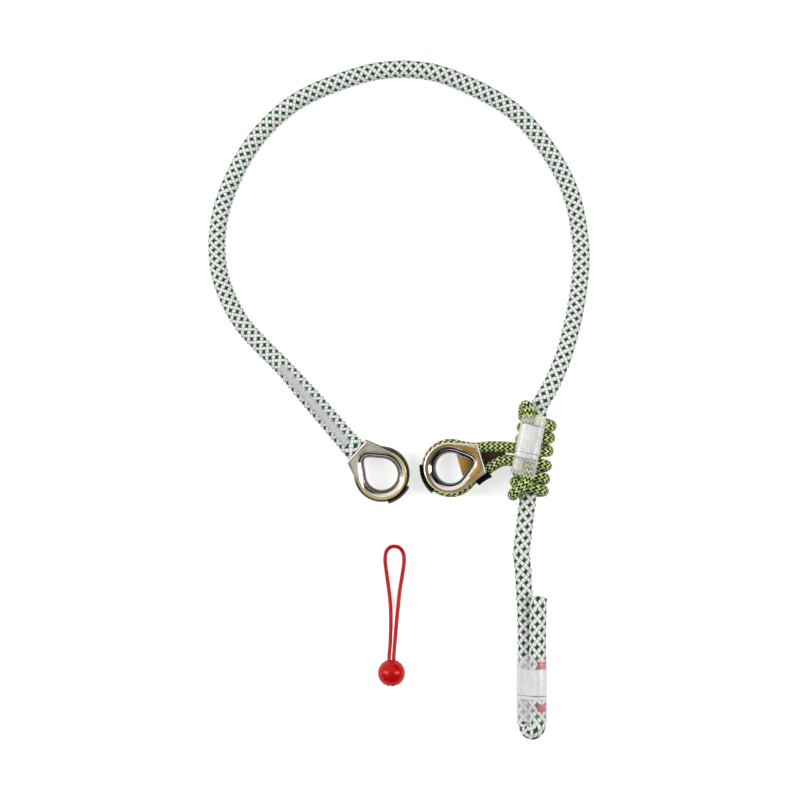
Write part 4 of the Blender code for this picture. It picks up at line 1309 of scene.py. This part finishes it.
class SAVER_OT_stitches(bpy.types.Operator):
    """Sews the splice: one thread to and fro over the rope's upper side"""

    bl_idname = "saver.stitches"
    bl_label = "Splice stitches"

    def execute(self, context):
        look = context.scene.saver_rope
        start, end = STITCHED
        rows, offs = [], []
        for k in range(int((end - start) / look.stitch)):
            way = 1 if k % 2 else -1
            for share in np.linspace(-1, 1, 9)[:-1]:
                rows.append(start + (k + (share + 1) / 2) * look.stitch)
                offs.append(way * share)
        rows, offs = np.array(rows), np.array(offs)
        centre, _, up, side = rope_course().at(rows)
        radius = np.interp(rows, NECK_AT, NECK_RADII)
        dip = THREAD_DIP * np.abs(offs) ** 8
        outward = np.where(side[:, 0] + side[:, 1] < 0, 1, -1)
        turn = (look.stitch_half * offs + look.stitch_shift * outward) / radius
        reach = (radius + THREAD_PROUD * look.thread_r - dip)[:, None]
        line = centre + reach * (np.cos(turn)[:, None] * up + np.sin(turn)[:, None] * side)
        thread = plain_material(
            "grey_thread", look.thread, 0.72, 900.0, (-1.2, 1.5), sheen_weight=0.2
        )
        made = dress(plain_tube("splice_thread", line, look.thread_r), thread)
        take_place(made, "eye_side", "grey_thread", "splice_stitching")
        return {"FINISHED"}


def ring_copy(node, name, place, throat, look, share):
    """A ring with its outer edges rounded: broadly along the throat, by a share elsewhere."""
    back = place.inverted()

    def weight(middle):
        at = back @ middle
        if abs(at.z) < RING_HALF - 0.0002:
            return GROOVE_EDGE
        return 1.0 if at.x < 0.0003 - throat else share

    return refined(node, name, look.throat_edge, 3, 1, 2, weight)


def ring_finish(made, place, throat, finishes):
    """Gives a ring's lip, level faces, outer edges and throat edges each their finish, and paints
    its steep bore dark as a reflection.

    An edge's face that looks inwards belongs to the lip or the bore."""
    dress(made, *finishes)
    level = place.to_3x3() @ UP
    back = place.inverted()
    for face in made.data.polygons:
        at, facing = back @ face.center, abs(face.normal.dot(level))
        out = (back.to_3x3() @ face.normal).xy.dot(at.xy)
        if face.material_index == RING_EDGE and out > 0:
            if at.x < 0.0014 - throat and abs(at.z) > GROOVE_HALF:
                face.material_index = RING_CHAMFER
            continue
        is_level = facing > 0.97 and abs(at.z) > RING_HALF - 0.0004
        is_rim = facing < 0.2 and out > 0 and abs(at.z) > GROOVE_HALF
        if is_level or is_rim:
            face.material_index = RING_FLAT
        else:
            face.material_index = RING_BORE if facing < STEEP else RING_LIP


class SAVER_OT_large_ring(bpy.types.Operator):
    """Finishes the large ring and the black guard over its rope"""

    bl_idname = "saver.large_ring"
    bl_label = "Large ring"

    def execute(self, context):
        look = context.scene.saver_rings
        # the nose half takes a painted warm reflection
        nose, worn = ((LARGE_AT, LARGE_TURN), look.large_nose_reflection), (0.80, 0.76, 0.68)
        flat = metal_material("champagne_alloy", look.large, 0.46, worn, 0.10, nose=nose)
        edge = metal_material("champagne_edge", look.large, 0.30, worn, 0.10, nose=nose)
        lip = metal_material("polished_lip", look.polish, 0.07, (0.92, 0.91, 0.90), 0.04, 0.000005)
        chamfer = metal_material("throat_edge", look.chamfer, 0.34, (0.97, 0.96, 0.95))
        # the steep bore faces: the lip's polished metal, painted dark as a reflection
        bore = metal_material("painted_dark_bore", look.bore, 0.12, (0.16, 0.15, 0.14), 0.05)
        share = look.edge / look.throat_edge
        ring = ring_copy("large_ring", "large_thimble", LARGE_PLACE, LARGE_THROAT, look, share)
        ring_finish(ring, LARGE_PLACE, LARGE_THROAT, (lip, flat, edge, chamfer, bore))
        take_place(ring, "eye_side", "champagne_alloy", "large_ring")
        rubber = rubber_material("guard_rubber", look.guard, 0.26, 0.25, shine=0.05)
        add_copy(
            "large_ring_guard", "large_guard", "eye_side", "black_rubber", rubber, bevel=0.0004
        )
        return {"FINISHED"}


class SAVER_OT_small_ring(bpy.types.Operator):
    """Finishes the small ring, its plate, and its two black guards"""

    bl_idname = "saver.small_ring"
    bl_label = "Small ring"

    def execute(self, context):
        look = context.scene.saver_rings
        flat = metal_material("bronze_alloy", look.small, 0.46, (0.38, 0.26, 0.10), 0.10)
        edge = metal_material("bronze_edge", look.small_edge, 0.22, (0.88, 0.83, 0.74))
        lip, chamfer, bore = (material(k) for k in ("polished_lip", "throat_edge", "painted_dark_bore"))
        ring = ring_copy("small_ring", "small_thimble", SMALL_PLACE, SMALL_THROAT, look, 0.8)
        ring_finish(ring, SMALL_PLACE, SMALL_THROAT, (lip, flat, edge, chamfer, bore))
        take_place(ring, "ring", "bronze_alloy", "small_ring")
        rubber = material("guard_rubber")
        for node, name, slot, finish, bevel, levels in (
            ("ring_restrictor", "throat_plate", "bronze_alloy", flat, 0.0006, 0),
            ("small_ring_guard", "nose_guard", "black_rubber", rubber, 0.0005, 1),
            ("small_throat_guard", "flank_guard", "black_rubber", rubber, 0.0012, 1),
        ):
            add_copy(node, name, "ring", slot, finish, bevel=bevel, segments=3, levels=levels)
        return {"FINISHED"}


class SAVER_OT_leg_wedge(bpy.types.Operator):
    """Fills the space between the two legs by the small ring's throat"""

    bl_idname = "saver.leg_wedge"
    bl_label = "Leg wedge"

    def execute(self, context):
        look = context.scene.saver_cord
        rubber = rubber_material("brown_rubber", look.wedge, 0.55, 0.0, 700.0, 0.0003)
        made = dress(refined("leg_wedge", "dark_wedge", bevel=0.0004), rubber)
        legs = [in_hitch(*leave_point(side, LEG_CUT)) for side in (1, -1)]
        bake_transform(made)
        take_place(made, None, "brown_rubber", "leg_wedge")
        return {"FINISHED"}


class SAVER_OT_cord_ends(bpy.types.Operator):
    """Winds beige tape round the hitch cord's two ends"""

    bl_idname = "saver.cord_ends"
    bl_label = "Cord ends"

    def execute(self, context):
        look = context.scene.saver_cord
        tape = plain_material("beige_tape", look.tape, 0.84, 260.0, (-0.4, 2.0), coat_weight=0.3)
        for end in ("upper", "lower"):
            add_copy(
                f"cord_end_cap_{end}", f"end_tape_{end}", "hitch", "beige_tape", tape,
                bevel=0.0009, segments=3,
            )
        return {"FINISHED"}


def bridge_place(along):
    """The bridge's cross-section at one place: X across, Y up, Z along it."""
    top = in_hitch(*bridge_point(BRIDGE_TOP[1], True))
    bottom = in_hitch(*bridge_point(BRIDGE_BOTTOM[1], True))
    run = (top - bottom).normalized()
    across = UP.cross(run).normalized()
    middle = in_hitch(bridge_side(along), along, 0)
    return Matrix.Translation(middle) @ Matrix((-across, UP, -run)).transposed().to_4x4()


def sliced_tube(radius, length, rings):
    """An open tube, cut across into rings."""
    bpy.ops.object.select_all(action="DESELECT")
    bpy.ops.mesh.primitive_cylinder_add(
        vertices=48, radius=radius, depth=length, end_fill_type="NOTHING"
    )
    for k in range(1, rings):
        bpy.ops.object.mode_set(mode="EDIT")
        bpy.ops.mesh.select_all(action="SELECT")
        bpy.ops.mesh.bisect(plane_co=(0, 0, length * (k / rings - 0.5)), plane_no=(0, 0, 1))
        bpy.ops.object.mode_set(mode="OBJECT")
    return bpy.context.object


def film_tube(name, ends, radius, length, rings, waist, level, place):
    """A film sleeve round two cords: a tube pulled apart into two lobes and rippled, with a
    waist but where a label holds it level."""
    made = sliced_tube(radius, length, rings)
    one, other = (Vector((*end, 0)) for end in ends)
    cross = (other - one).normalized()
    square = Vector((-cross.y, cross.x, 0))
    for vertex in made.data.vertices:
        co = vertex.co.copy()
        reach, rise = co.dot(cross), co.dot(square)
        ripple = 1 + 0.012 * math.sin(co.z * 520) + 0.010 * math.sin(co.z * 1100 + reach * 400)
        pull = waist * math.exp(-((reach / (0.5 * radius)) ** 2)) * (1 if rise > 0 else -1)
        if abs(rise) < 0.2 * radius or level[0] < co.z < level[1]:
            pull = 0
        middle = one if reach < 0 else other
        if abs(reach) < 1e-6:
            middle = (one + other) / 2
        vertex.co = middle + cross * reach * ripple + square * (rise * ripple - pull)
        vertex.co.z = co.z
    modified(made, "SOLIDIFY", thickness=SLEEVE_T, offset=-1)
    subdivided(made)
    placed(made, name, place)
    return shade(made, math.radians(60))


class SAVER_OT_hitch_sleeve(bpy.types.Operator):
    """Shrinks clear film round the hitch cord's ends, over a bare white label"""

    bl_idname = "saver.hitch_sleeve"
    bl_label = "Hitch sleeve"

    def execute(self, context):
        look = context.scene.saver_sleeves
        ends = [(-BRIDGE_HALF, BRIDGE_LEFT_UP), (BRIDGE_HALF, BRIDGE_RIGHT_UP)]
        length = BRIDGE_TOP[1] - BRIDGE_BOTTOM[1]
        place = bridge_place((BRIDGE_TOP[1] + BRIDGE_BOTTOM[1]) / 2)
        radius = CORD_R + FILM_OUT
        film = film_material(look)
        sleeve = film_tube(
            "hitch_film", ends, radius, length, 11, look.waist, HITCH_LABEL_SPAN, place
        )
        take_place(dress(sleeve, film), "hitch", "clear_sleeve", "hitch_sleeve")
        run = bridge_place(HITCH_LABEL_AT)
        ahead = -run.col[2].to_3d()
        centre = run.translation.xy.dot(ahead.xy.normalized())
        rules = [(centre + at, depth) for at, depth in HITCH_RULES]
        turn = math.atan2(ahead.x, ahead.y)
        white = label_material("hitch_white_label", look, turn, rules)
        add_copy("hitch_label", "hitch_bare_label", "hitch", "white_label", white, levels=0)
        return {"FINISHED"}


class SAVER_OT_tail_sleeve(bpy.types.Operator):
    """Shrinks clear film round the folded tail, over a bare label and two red patches"""

    bl_idname = "saver.tail_sleeve"
    bl_label = "Tail sleeve"

    def execute(self, context):
        look = context.scene.saver_sleeves
        first, last = TAIL_SLEEVE
        place = Matrix.Translation((0, (first + last) / 2, 0))
        place = place @ Matrix.Rotation(math.pi / 2, 4, "X")
        ends, radius = [TAIL_STANDING, TAIL_FREE], TAIL_R + FILM_OUT
        sleeve = film_tube(
            "tail_film", ends, radius, first - last, 13, look.waist, TAIL_LABEL_SPAN, place
        )
        take_place(dress(sleeve, material("clear_film")), "rope", "clear_sleeve", "tail_sleeve")
        white = label_material("tail_white_label", look, 0.0, TAIL_RULES)
        add_copy("tail_label", "tail_bare_label", "rope", "white_label", white, levels=0)
        red = plain_material(
            "red_tape", look.mark, 0.75, 180.0, (-0.6, 2.0), wrinkles=500.0, coat_weight=0.6
        )
        for end in ("upper", "lower"):
            add_copy(f"tail_mark_{end}", f"red_patch_{end}", "rope", "red_tape", red, levels=0)
        return {"FINISHED"}


class SAVER_OT_ball(bpy.types.Operator):
    """Finishes the retrieval ball, and rounds the edges of its bore and its recess"""

    bl_idname = "saver.ball"
    bl_label = "Retrieval ball"

    def execute(self, context):
        look = context.scene.saver_ball
        red = rubber_material("red_rubber", look.ball, 0.20, 0.30, 500.0, 0.00003, 0.05)
        add_copy(
            "retrieval_ball", "pull_ball", "retrieval", "red_rubber", red, bevel=look.edge,
            segments=3,
        )
        return {"FINISHED"}


def white_where_seen(wiring, plain, white, strength):
    """Adds white for the rays that look at a surface, and leaves the light it gives alone."""
    path = wiring.node("ShaderNodeLightPath").outputs
    seen = wiring.math("MAXIMUM", path["Is Camera Ray"], path["Is Glossy Ray"])
    seen = wiring.math("MAXIMUM", seen, path["Is Transmission Ray"])
    glow = wiring.node("ShaderNodeEmission", {"Color": white})
    wiring.feed(glow.inputs["Strength"], wiring.math("MULTIPLY", seen, strength))
    both = wiring.node("ShaderNodeAddShader")
    wiring.feed(both.inputs[0], plain)
    wiring.feed(both.inputs[1], glow.outputs[0])
    return both.outputs[0]


def lay_floor(look):
    """The pale surface that the part lies on."""
    bpy.ops.object.select_all(action="DESELECT")
    bpy.ops.mesh.primitive_grid_add(
        x_subdivisions=8, y_subdivisions=8, size=24, location=(0, 0, FLOOR_LEVEL)
    )
    floor = bpy.context.object
    floor.name = "pale_floor"
    made = bpy.data.materials.new("pale_surface")
    made.use_nodes = True
    made.node_tree.nodes.clear()
    w = Wiring(made.node_tree)
    plain = w.node("ShaderNodeBsdfDiffuse", {"Color": (*look.floor, 1)}).outputs[0]
    output = w.node("ShaderNodeOutputMaterial")
    w.feed(output.inputs[0], white_where_seen(w, plain, WHITE, look.lift))
    dress(floor, made)


def set_lamp(name, place, size, power):
    """A soft lamp that looks at the part."""
    bpy.ops.object.light_add(type="AREA", location=place)
    lamp = bpy.context.object
    lamp.name = name
    lamp.data.shape = "RECTANGLE"
    lamp.data.size, lamp.data.size_y = size
    lamp.data.energy = power
    lamp.rotation_euler = (-Vector(place)).to_track_quat("-Z", "Y").to_euler()


def set_sky(strength):
    """The room that the metal mirrors: pale low down, then dark but towards the upper left,
    then white on that side of the ceiling, and grey straight above. The camera sees white."""
    world = bpy.data.worlds.new("studio")
    world.use_nodes = True
    world.node_tree.nodes.clear()
    bpy.context.scene.world = world
    w = Wiring(world.node_tree)
    toward = w.node("ShaderNodeTexCoord").outputs["Generated"]
    split = w.node("ShaderNodeSeparateXYZ", {"Vector": toward}).outputs
    back, left = w.math("MULTIPLY", split[1], 0.72), w.math("MULTIPLY", split[0], 0.69)
    corner = w.math("SUBTRACT", back, left)
    belt = w.blend(w.ramp(corner, 0.25, 0.80), grey(0.02), WHITE)
    low = w.blend(w.ramp(split[2], 0.16, 0.10), belt, grey(0.85))
    high = w.blend(w.ramp(corner, -0.25, 0.25), grey(0.10), WHITE)
    sky = w.blend(w.ramp(split[2], 0.58, 0.70), low, high)
    sky = w.blend(w.ramp(split[2], 0.90, 0.95), sky, grey(0.22))
    path = w.node("ShaderNodeLightPath").outputs
    shown = w.blend(path["Is Camera Ray"], sky, WHITE)
    power = w.math("MULTIPLY_ADD", path["Is Camera Ray"], 1 - strength, strength)
    glow = w.node("ShaderNodeBackground", {"Color": shown, "Strength": power})
    w.node("ShaderNodeOutputWorld", {"Surface": glow.outputs[0]})


class SAVER_OT_stage(bpy.types.Operator):
    """Lays the pale surface and sets the soft lamps"""

    bl_idname = "saver.stage"
    bl_label = "Stage"

    def execute(self, context):
        look = context.scene.saver_stage
        context.scene.view_settings.view_transform = "Standard"
        lay_floor(look)
        set_lamp("left_lamp", (-2.3, 0.15, 1.9), (0.9, 2.2), look.left)
        set_lamp("right_lamp", (2.3, 0.0, 1.9), (1.0, 2.2), look.right)
        set_sky(look.sky)
        return {"FINISHED"}


class SAVER_PT_panel(bpy.types.Panel):
    """Lists the saver's pieces and their settings"""

    bl_idname = "SAVER_PT_panel"
    bl_label = "Cambium saver"
    bl_space_type = "VIEW_3D"
    bl_region_type = "UI"
    bl_category = "Saver"

    def draw(self, context):
        for name, group in LOOKS.items():
            box = self.layout.box()
            for key in group.__annotations__:
                box.prop(getattr(context.scene, name), key)
        for operator in OPERATORS:
            self.layout.operator(operator.bl_idname)


OPERATORS = (
    SAVER_OT_camera,
    SAVER_OT_main_rope,
    SAVER_OT_hitch_cord,
    SAVER_OT_pull_cord,
    SAVER_OT_stitches,
    SAVER_OT_large_ring,
    SAVER_OT_small_ring,
    SAVER_OT_leg_wedge,
    SAVER_OT_cord_ends,
    SAVER_OT_hitch_sleeve,
    SAVER_OT_tail_sleeve,
    SAVER_OT_ball,
    SAVER_OT_stage,
)
CLASSES = (*LOOKS.values(), *OPERATORS, SAVER_PT_panel)


def register():
    for made in CLASSES:
        bpy.utils.register_class(made)
    for name, group in LOOKS.items():
        setattr(bpy.types.Scene, name, bpy.props.PointerProperty(type=group))


def unregister():
    for name in LOOKS:
        delattr(bpy.types.Scene, name)
    for made in reversed(CLASSES):
        bpy.utils.unregister_class(made)


def main():
    register()
    for operator in OPERATORS:
        category, name = operator.bl_idname.split(".")
        getattr(getattr(bpy.ops, category), name)()


if __name__ == "__main__":
    main()
